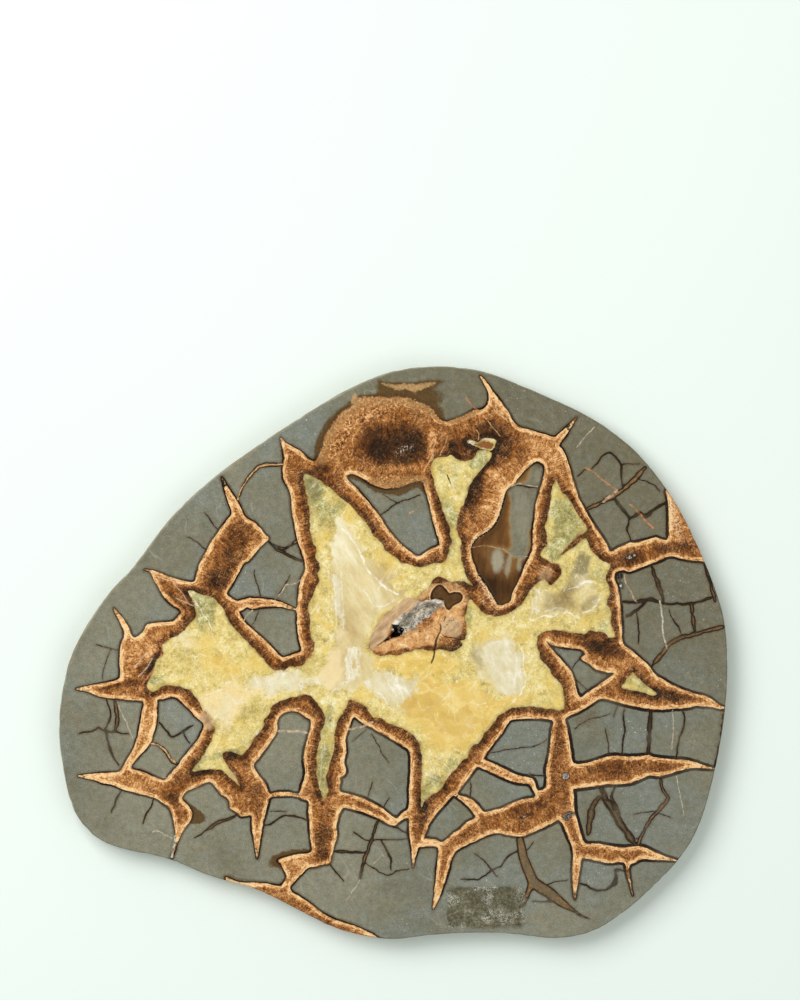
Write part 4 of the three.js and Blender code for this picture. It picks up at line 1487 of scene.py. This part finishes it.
def wallLine(f, colour, wall, soft, thin):
    # the dark line along every wall, broader where it is bold and missing round the soft part
    start = f.step(thin, 0, 1, -lines["outside"], -lines["thinOutside"])
    swelling = f.times(f.around(f.cloud(*lines["swell"]), -0.9), f.step(thin, 0, 0.5, 1, 0))
    start = f.plus(start, f.times(f.field("bold"), -lines["bold"]), swelling)
    line = f.times(f.step(wall, start, f.times(start, 0.75)), f.step(wall, 0.0, lines["inside"], 1, 0))
    weight = f.times(f.spots(*lines["weight"]), f.step(soft, 0.2, 0.7, 1, 0), f.step(thin, 0, 1, 1, 0.9))
    return f.blend(f.times(line, weight), colour, limestone["line"])


def crackedColour(f, colour):
    # a crack is a dark line with a stain round it, and a filled one has a core with an olive middle.
    # Its tone is below 0 where it is an open crack that crosses a vein or the filling
    tone = f.field("crackTone")
    crack = f.uneven(f.field("crack"), lines["crackStray"])
    core = f.ramp(f.uneven(tone, *lines["coreStray"]), lines["crackTones"])
    core = f.blend(f.step(crack, -1.5, -0.95, 0.55, 0), core, limestone["olive"])
    onLimestone = f.sum("MAXIMUM", f.has("wall", -0.3, 0.2, 1, 0), f.step(tone, -0.6, -0.4, 1, 0))
    body = f.times(f.step(crack, -0.75, -0.45, 1, 0), f.step(tone, 0.05, 0.2))
    line = f.times(f.step(crack, -0.1, 0.22, 1, 0), onLimestone, f.spots(*lines["crackWeight"]))
    stained = f.times(f.step(crack, -0.1, 1.2, 0.35, 0), onLimestone, f.step(tone, -0.6, -0.4, 0, 1))
    colour = f.blend(stained, colour, limestone["stain"]["tone"])
    colour = f.blend(line, colour, limestone["line"])
    return f.blend(f.times(body, onLimestone), colour, core)


def paleLined(f, colour):
    # tone 0 is chalk, 1 is rust and 2 is a tan thread
    tone = f.field("paleTone")
    edge = f.uneven(f.field("paleLine"), lines["paleStray"])
    share = f.times(f.step(edge, -0.25, 0.15, 1, 0), f.spots(*lines["paleWeight"]))
    pale = f.blend(f.step(tone, 1.2, 1.8), f.blend(tone, lines["chalk"], lines["rust"]), veinFill["thread"])
    return f.blend(share, colour, pale)


def lensColour(f, colour):
    edge = f.uneven(f.field("lens"), glitter["lensEdge"])
    tones = f.ramp(f.uneven(f.field("lensTone"), glitter["lensNoise"]), glitter["lensTones"])
    colour = f.blend(f.step(edge, -0.35, 0.0, 0, 0.6), colour, limestone["line"])
    return f.blend(f.step(edge, 0.1, 0.45), colour, tones)


def speckedColour(f, colour):
    glint = f.times(f.field("glint"), f.has("wall", -1.0, 0.2))
    speck, near = f.cloud(*glitter["specks"]), f.step(glint, 0, 0.3)
    bright = f.step(f.plus(speck, f.times(glint, 0.08)), 0.6, 0.7)
    dark = f.step(f.plus(speck, f.times(glint, -0.07)), 0.32, 0.40, 1, 0)
    colour = f.blend(f.times(bright, near), colour, glitter["speck"])
    return f.blend(f.times(dark, near, 0.8), colour, limestone["line"])


def roughColour(f, colour):
    r = roughSquare
    look = f.ramp(f.uneven(f.cloud(*r["noise"]), r["drift"]), r["tones"])
    # painted glints: thin white winding lines over the rough square
    paintedGlint = f.thread(f.cloud(*r["paintedGlintNoise"]), r["paintedGlintWidth"])
    look = f.blend(f.times(paintedGlint, f.spots(*r["paintedGlintPatches"])), look, r["paintedGlint"])
    return f.blend(f.times(f.field("rough"), r["strength"]), colour, look)


def stoneFinish():
    f = Finish("septarianStone")
    soft, thin = f.field("softWall"), f.field("thin")
    softly = f.times(soft, f.around(f.cloud(*lines["softStray"]), lines["softReach"]))
    wall = f.plus(f.uneven(f.field("wall"), lines["wallStray"]), f.times(thin, 0.1), softly)
    crystal = f.uneven(f.field("crystal"), (1.2, 700))
    veins = liningColour(f, veinColour(f, wall, crystal))
    colour = f.blend(f.step(wall, -0.1, 0.1), limestoneColour(f, wall), veins)
    colour = wallLine(f, colour, wall, soft, thin)
    for dress in (crackedColour, paleLined, lensColour, speckedColour, roughColour):
        colour = dress(f, colour)
    silver = f.ramp(f.cloud(*glitter["silverNoise"], at=f.turned(*glitter["silverTurn"])), glitter["silverTones"])
    colour = f.covered(colour, "silver", glitter["silver"], silver)
    # painted shade: near-black where the pocket's holes are drawn
    colour = f.covered(colour, "hole", glitter["hole"], glitter["paintedHoleShade"])
    crust = f.blend(f.spots(*skin["rusty"]), skin["crust"], skin["rust"])
    crust = f.blend(f.has("wall", -0.5, 0.8, 0, 0.6), crust, colour)
    colour = f.blend(f.has("skin", 0.5, 1.0), colour, crust)
    colour = f.blend(f.times(f.field("sawn"), skin["dustiness"]), colour, skin["sawDust"])
    gloss = f.spots(*stonePolish["gloss"])
    for name, roughness in stonePolish["matt"].items():
        gloss = f.level(f.field(name), gloss, roughness)
    f.dress(colour, gloss, {"Specular IOR Level": 0.12})
    sawnGrit = f.times(f.field("sawn"), stonePolish["sawnGrit"])
    gritty = f.sum("ADD", sawnGrit, f.plus(f.field("rough"), f.field("skin")), clamp=True)
    height = f.times(f.cloud(*stonePolish["grit"]), gritty)
    bump = f.add("Bump")
    bump.inputs["Strength"].default_value = stonePolish["gritStrength"]
    bump.inputs["Distance"].default_value = stonePolish["gritHeight"]
    f.put(bump.inputs["Height"], height)
    f.put(f.shader.inputs["Normal"], bump.outputs[0])
    return f.material


# Each part of the filling runs from its dark grains to its pale ones.
filling = {
    # the granular part, next to the brown, and the same with green in it
    "sugar": shades("0.3 164,145,80  0.42 198,175,101  0.52 218,196,121  0.62 229,212,148  0.72 240,230,190"),
    "moss": shades("0.32 112,103,56  0.46 152,142,84  0.56 180,171,110  0.68 218,213,164"),
    # the clear sheets further in, and where they are smoky or milky
    "sheet": shades("0.3 190,164,110  0.43 208,186,132  0.54 219,202,152  0.66 235,225,192"),
    "smoke": shades("0.3 114,95,54  0.46 150,130,82  0.58 178,160,114  0.72 214,202,170"),
    "milk": shades("0.3 204,192,154  0.46 219,209,174  0.6 231,224,199  0.72 244,241,230"),
    # broken steps
    "honey": shades("0.28 196,154,68  0.44 214,177,84  0.56 224,190,98  0.72 239,216,146"),
    "peach": tint(238, 214, 164),
    "straw": tint(226, 194, 100),
    "white": tint(246, 242, 228),
    "shade": tint(112, 104, 66),
    "rim": tint(160, 140, 80),
    "edge": tint(108, 68, 28),
    "core": tint(136, 82, 36),
    # how strongly each part shows, and how far noise pulls at its edge
    "zones": {
        "sheet": (1.0, 0.8), "moss": (0.95, 1.1), "peach": (0.7, 1.0), "peachSugar": (0.6, 1.0),
        "honey": (0.85, 0.9), "smoke": (0.85, 0.8), "milk": (0.8, 1.0), "shade": (0.6, 1.2),
    },
    "edgeStray": (1.8, 500),
    "broad": (55, 3, 0.6),
    "ragged": (230, 5, 0.75),
    "fine": (1500, 3, 0.75, 0.8),
    "clusters": 330,  # grains of the sugar, per metre
    "clusterStray": (420, 0.003),
    "strawPatches": ((0.50, 0.68, 0, 0.6), 95),
    "sheetTurn": (30, 3.2),
    "sheetNoise": (75, 5, 0.62),
    "sheetFine": (380, 4, 0.7),
    "flakes": 100,  # broken steps of the honey part, per metre
    "flakeStray": (110, 0.016),
    "flakeEdges": ((0.45, 0.62), 150),
    "milkNoise": (300, 5, 0.7),
    "milkTurn": (20, 2),
    "shadeGrain": (0.36, 0.64, 0.7, 1.4, 500, 4, 0.7),
    # grains over everything: tone, strength, limits and noise
    "grains": [
        ("white", 0.45, (0.64, 0.70), 1300, 2, 0.6), ("white", 0.5, (0.68, 0.72), 560, 2, 0.6),
        ("shade", 0.35, (0.27, 0.34, 1, 0), 620, 2, 0.6),
    ],
    "rimReach": 1.7,  # millimetres from the brown to where the darker rim has faded
    "rimPatches": ((0.35, 0.6, 0.4, 1.0), 70, 2),
    "wisps": (330, 5, 0.72, 0.7),
    "wispTurn": (-28, 3.5),
    "veilStray": (0.8, 600, 4, 0.75),
    "veilPatches": ((0.36, 0.62, 0.15, 0.85), 260, 4, 0.7),
    "crackStray": (0.4, 900),
    "gloss": ((0.3, 0.7, 0.14, 0.3), 240, 3),
    "sawnRoughness": 0.6,
    # cloudy and granular: light goes a little way in
    "optics": {
        "IOR": 1.58, "Specular IOR Level": 0.3, "Subsurface Weight": 0.12,
        "Subsurface Radius": (1.0, 0.75, 0.35), "Subsurface Scale": 0.5 * mm,
    },
}


def calciteFinish():
    f = Finish("yellowCalcite")
    p = filling
    crystal = f.uneven(f.field("crystal"), p["edgeStray"])
    broad, ragged, fine = f.cloud(*p["broad"]), f.cloud(*p["ragged"]), f.cloud(*p["fine"])

    def zone(name, field=None):
        power, reach = p["zones"][name]
        value = f.field(field or name)
        pull = f.plus(f.around(broad, reach * 0.7), f.around(ragged, reach * 1.2))
        value = f.plus(f.times(value, 1.4), f.times(pull, f.step(value, 0, 0.3, 0.3, 1)))
        return f.times(f.step(value, 0.32, 1.08), power)

    def firstChannel(colour):
        return f.parts("SeparateColor", colour)[0]

    sheet = f.times(zone("sheet"), f.step(crystal, 0.8, 3.5))
    alongSheets = f.turned(*p["sheetTurn"])
    # sugar: clustered grains, light and dark, and the same ones in green where it is mossy
    clusters = firstChannel(f.cells(p["clusters"], at=f.strayed(*p["clusterStray"])))
    grain = f.plus(
        0.5, f.around(ragged, 0.7), f.wobble((0.5, 700, 3, 0.7)), f.around(fine, 0.45), f.around(clusters, 0.10),
        f.around(broad, 0.25))
    sugar = f.blend(zone("moss"), f.ramp(grain, p["sugar"]), f.ramp(grain, p["moss"]))
    sugar = f.blend(f.spots(*p["strawPatches"]), sugar, p["straw"])
    # sheets: nearly even, with long soft streaks
    longStreaks, fineStreaks = (f.cloud(*p[name], at=alongSheets) for name in ("sheetNoise", "sheetFine"))
    streak = f.plus(longStreaks, f.around(fineStreaks, 0.35), f.around(fine, 0.10))
    clear = f.blend(zone("peach"), f.ramp(streak, p["sheet"]), p["peach"])
    colour = f.blend(sheet, f.blend(zone("peachSugar", "peach"), sugar, p["peach"]), clear)
    # honey: broken steps, pale along their edges
    broken = f.strayed(*p["flakeStray"])
    steps = f.cells(p["flakes"], output="Distance", feature="DISTANCE_TO_EDGE", at=broken)
    stepTone = f.plus(
        0.5, f.around(firstChannel(f.cells(p["flakes"], at=broken)), 0.18), f.step(steps, 0.0, 0.22, 0.05, -0.03),
        f.around(ragged, 0.45), f.around(fine, 0.16))
    stepEdge = f.times(f.step(steps, 0.0, 0.05, 0.08, 0), f.spots(*p["flakeEdges"]))
    colour = f.blend(zone("honey"), colour, f.blend(stepEdge, f.ramp(stepTone, p["honey"]), p["white"]))
    colour = f.blend(zone("smoke"), colour, f.ramp(streak, p["smoke"]))
    cloudy = f.plus(f.cloud(*p["milkNoise"], at=f.turned(*p["milkTurn"])), f.around(ragged, 0.3))
    colour = f.blend(zone("milk"), colour, f.ramp(cloudy, p["milk"]))
    colour = f.blend(zone("shade"), colour, f.grained(p["shade"], *p["shadeGrain"]))
    grainy = f.level(sheet, 1.0, 0.3)
    for tone, strength, limits, *noise in p["grains"]:
        colour = f.blend(f.times(f.spots(limits, *noise), grainy, strength), colour, p[tone])
    # the rim along the brown, then white wisps, pink, the drawn veils, open cracks and brown cores
    rim = f.times(f.step(crystal, 0.2, p["rimReach"], 0.6, 0), f.spots(*p["rimPatches"]))
    colour = f.blend(rim, colour, f.grained(p["rim"], 0.36, 0.64, 0.76, 1.24, value=fine))
    wisps = f.spots((0.58, 0.70), *p["wisps"], at=f.turned(*p["wispTurn"]))
    colour = f.blend(f.times(wisps, grainy, 0.5), colour, p["white"])
    pink = f.plus(f.field("pink"), f.around(ragged, 1.0), f.around(fine, 0.3))
    colour = f.blend(f.times(f.step(pink, 0.2, 0.8, 0, 0.9), f.has("pink", 0, 0.2)), colour, pinkColour(f))
    veil = f.step(f.uneven(f.field("veil"), p["veilStray"]), -0.35, 0.25, 1, 0)
    colour = f.blend(f.times(veil, f.field("veilPower"), f.spots(*p["veilPatches"])), colour, p["white"])
    edge = f.times(f.step(crystal, 0.0, 0.45, 0.55, 0), f.has("pink", 0.1, 0.5, 1, 0))
    colour = f.blend(edge, colour, p["edge"])
    opened = f.step(f.uneven(f.field("crack"), p["crackStray"]), -0.1, 0.22, 1, 0)
    colour = f.blend(f.times(opened, f.has("crackTone", -0.6, -0.4, 0.9, 0)), colour, limestone["line"])
    core = f.times(f.has("core", 0.2, 0.6), f.step(crystal, 0.35, 0.8))
    colour = f.blend(core, colour, f.grained(p["core"], 0.36, 0.64, 0.8, 1.2, value=fine))
    colour = f.blend(f.times(f.field("sawn"), 0.3), colour, skin["sawDust"])
    outside = f.sum("ADD", f.field("sawn"), f.field("skin"), clamp=True)
    f.dress(colour, f.level(outside, f.spots(*p["gloss"]), p["sawnRoughness"]), p["optics"])
    return f.material


druse = {
    "count": 110,
    "length": (0.5 * mm, 1.7 * mm),
    # one crystal, for a length of 1
    "sides": 6,
    "radius": 0.28,
    "prism": 0.7,
    "tip": 0.3,
    "lean": 0.6,  # how far crystals lean out of the floor's own slope
    "upright": 0.4,
    "sunk": 0.25,  # share of a crystal that is in the floor
    "belowFace": 0.15 * mm,
    "seatDepth": 0.25,  # crystals grow where the pocket is this deep and its floor this silvery
    "seatSilver": 0.3,
    "seed": 5,
    "tones": shades("0.3 120,118,116  0.5 172,167,156  0.7 232,226,212"),
    "optics": {"Transmission Weight": 0.25, "IOR": 1.54},
}


def druseFinish():
    f = Finish("druseCrystal")
    f.dress(f.ramp(f.cloud(300), druse["tones"]), f.spots((0.3, 0.7, 0.1, 0.3), 800, 2), druse["optics"])
    return f.material


def crystalShape():
    # a six-sided prism whose top is drawn up to a point
    middle = (0, 0, druse["prism"] / 2)
    bpy.ops.object.select_all(action="DESELECT")
    bpy.ops.mesh.primitive_cylinder_add(
        vertices=druse["sides"], radius=druse["radius"], depth=druse["prism"], location=middle)
    crystal = bpy.context.object
    bpy.ops.object.mode_set(mode="EDIT")
    bpy.ops.mesh.select_all(action="DESELECT")
    bpy.ops.object.mode_set(mode="OBJECT")
    for polygon in crystal.data.polygons:
        polygon.select = polygon.normal.z > 0.9
    bpy.ops.object.mode_set(mode="EDIT")
    bpy.ops.mesh.extrude_region_move(TRANSFORM_OT_translate={"value": (0, 0, druse["tip"])})
    bpy.ops.mesh.merge(type="CENTER")
    bpy.ops.object.mode_set(mode="OBJECT")
    shape = [v.co.copy() for v in crystal.data.vertices]
    faces = [tuple(p.vertices) for p in crystal.data.polygons]
    bpy.data.objects.remove(crystal)
    return shape, faces


def makeDruse(stonePiece):
    rng = random.Random(druse["seed"])
    shape, faces = crystalShape()
    mesh = stonePiece.data
    depth, silver = (np.empty(len(mesh.vertices), np.float32) for _ in range(2))
    mesh.attributes["pocket"].data.foreach_get("value", depth)
    mesh.attributes["silver"].data.foreach_get("value", silver)
    seats = np.nonzero((depth > druse["seatDepth"]) & (silver > druse["seatSilver"]))[0].tolist()
    points, polygons = [], []
    for _ in range(druse["count"]):
        seat = mesh.vertices[rng.choice(seats)]
        lean = Vector((rng.gauss(0, 1), rng.gauss(0, 1), 0)) * druse["lean"]
        axis = (seat.normal + lean + Vector((0, 0, druse["upright"]))).normalized()
        turn = axis.to_track_quat("Z", "Y")
        length = rng.uniform(*druse["length"])
        start = len(points)
        for co in shape:
            x, y, z = seat.co - axis * length * druse["sunk"] + turn @ (co * length)
            points.append((x, y, min(z, faceTop - druse["belowFace"])))
        polygons.extend(tuple(start + i for i in face) for face in faces)
    made = bpy.data.meshes.new("pocketDruse")
    made.from_pydata(points, [], polygons)
    made.materials.append(druseFinish())
    handOver(newPiece("pocketDruse", made))
    print("druse made:", len(polygons), "faces")


studio = {
    "floorSize": 6.0,
    "floor": tint(228, 237, 230),
    "floorShade": tint(221, 231, 224),
    "floorRoughness": 0.7,
    "cameraDistance": 2.4,
    "frameMiddle": (400, 500),  # the square at the middle of the view
    "viewWidth": 800,  # squares across the view
    "sensor": 36.0,
    "lean": 4.0,  # degrees that the camera stands off to the upper left
    "leanTowards": (-0.7, 0.71),
    # place, size, power
    "lights": {"keyLight": ((-0.75, 0.7, 1.25), 1.1, 23.0), "fillLight": ((0.9, -0.6, 1.5), 1.6, 8.0)},
    "world": (0.95, 1.0, 0.98, 1),
    "worldStrength": 0.42,
}


def makeStudio():
    bpy.ops.object.select_all(action="DESELECT")
    bpy.ops.mesh.primitive_plane_add(size=studio["floorSize"], location=(0, 0, 0))
    floor = bpy.context.object
    floor.name = "studioFloor"
    f = Finish("paleFloor")
    mottled = f.blend(f.spots((0.3, 0.7, 0, 0.2), 3, 2), studio["floor"], studio["floorShade"])
    f.dress(mottled, studio["floorRoughness"], {})
    floor.data.materials.append(f.material)
    world = bpy.data.worlds.new("studioWorld")
    bpy.context.scene.world = world
    world.use_nodes = True
    sky = world.node_tree.nodes["Background"]
    sky.inputs["Color"].default_value = studio["world"]
    sky.inputs["Strength"].default_value = studio["worldStrength"]
    for name, (place, size, power) in studio["lights"].items():
        bpy.ops.object.light_add(type="AREA", location=place)
        light = bpy.context.object
        light.name = name
        light.data.size, light.data.energy = size, power
        light.rotation_euler = (-light.location).to_track_quat("-Z", "Y").to_euler()


def makeCamera():
    aim = toMetres([studio["frameMiddle"]])[0]
    target = Vector((*aim, faceTop))
    lean = math.radians(studio["lean"])
    side = Vector((*studio["leanTowards"], 0)).normalized()
    data = bpy.data.cameras.new("viewCamera")
    data.sensor_fit = "HORIZONTAL"
    data.sensor_width = studio["sensor"]
    data.lens = studio["sensor"] * studio["cameraDistance"] / (studio["viewWidth"] * square)
    data.dof.use_dof = False
    camera = bpy.data.objects.new("viewCamera", data)
    bpy.context.scene.collection.objects.link(camera)
    away = side * math.sin(lean) + Vector((0, 0, math.cos(lean)))
    camera.location = target + away * studio["cameraDistance"]
    right = Vector((0, 1, 0)).cross(away).normalized()
    camera.rotation_euler = Matrix((right, away.cross(right), away)).transposed().to_euler()
    bpy.context.scene.camera = camera


makeCamera()
makeStudio()
stonePiece = makeStone()
makeDruse(stonePiece)
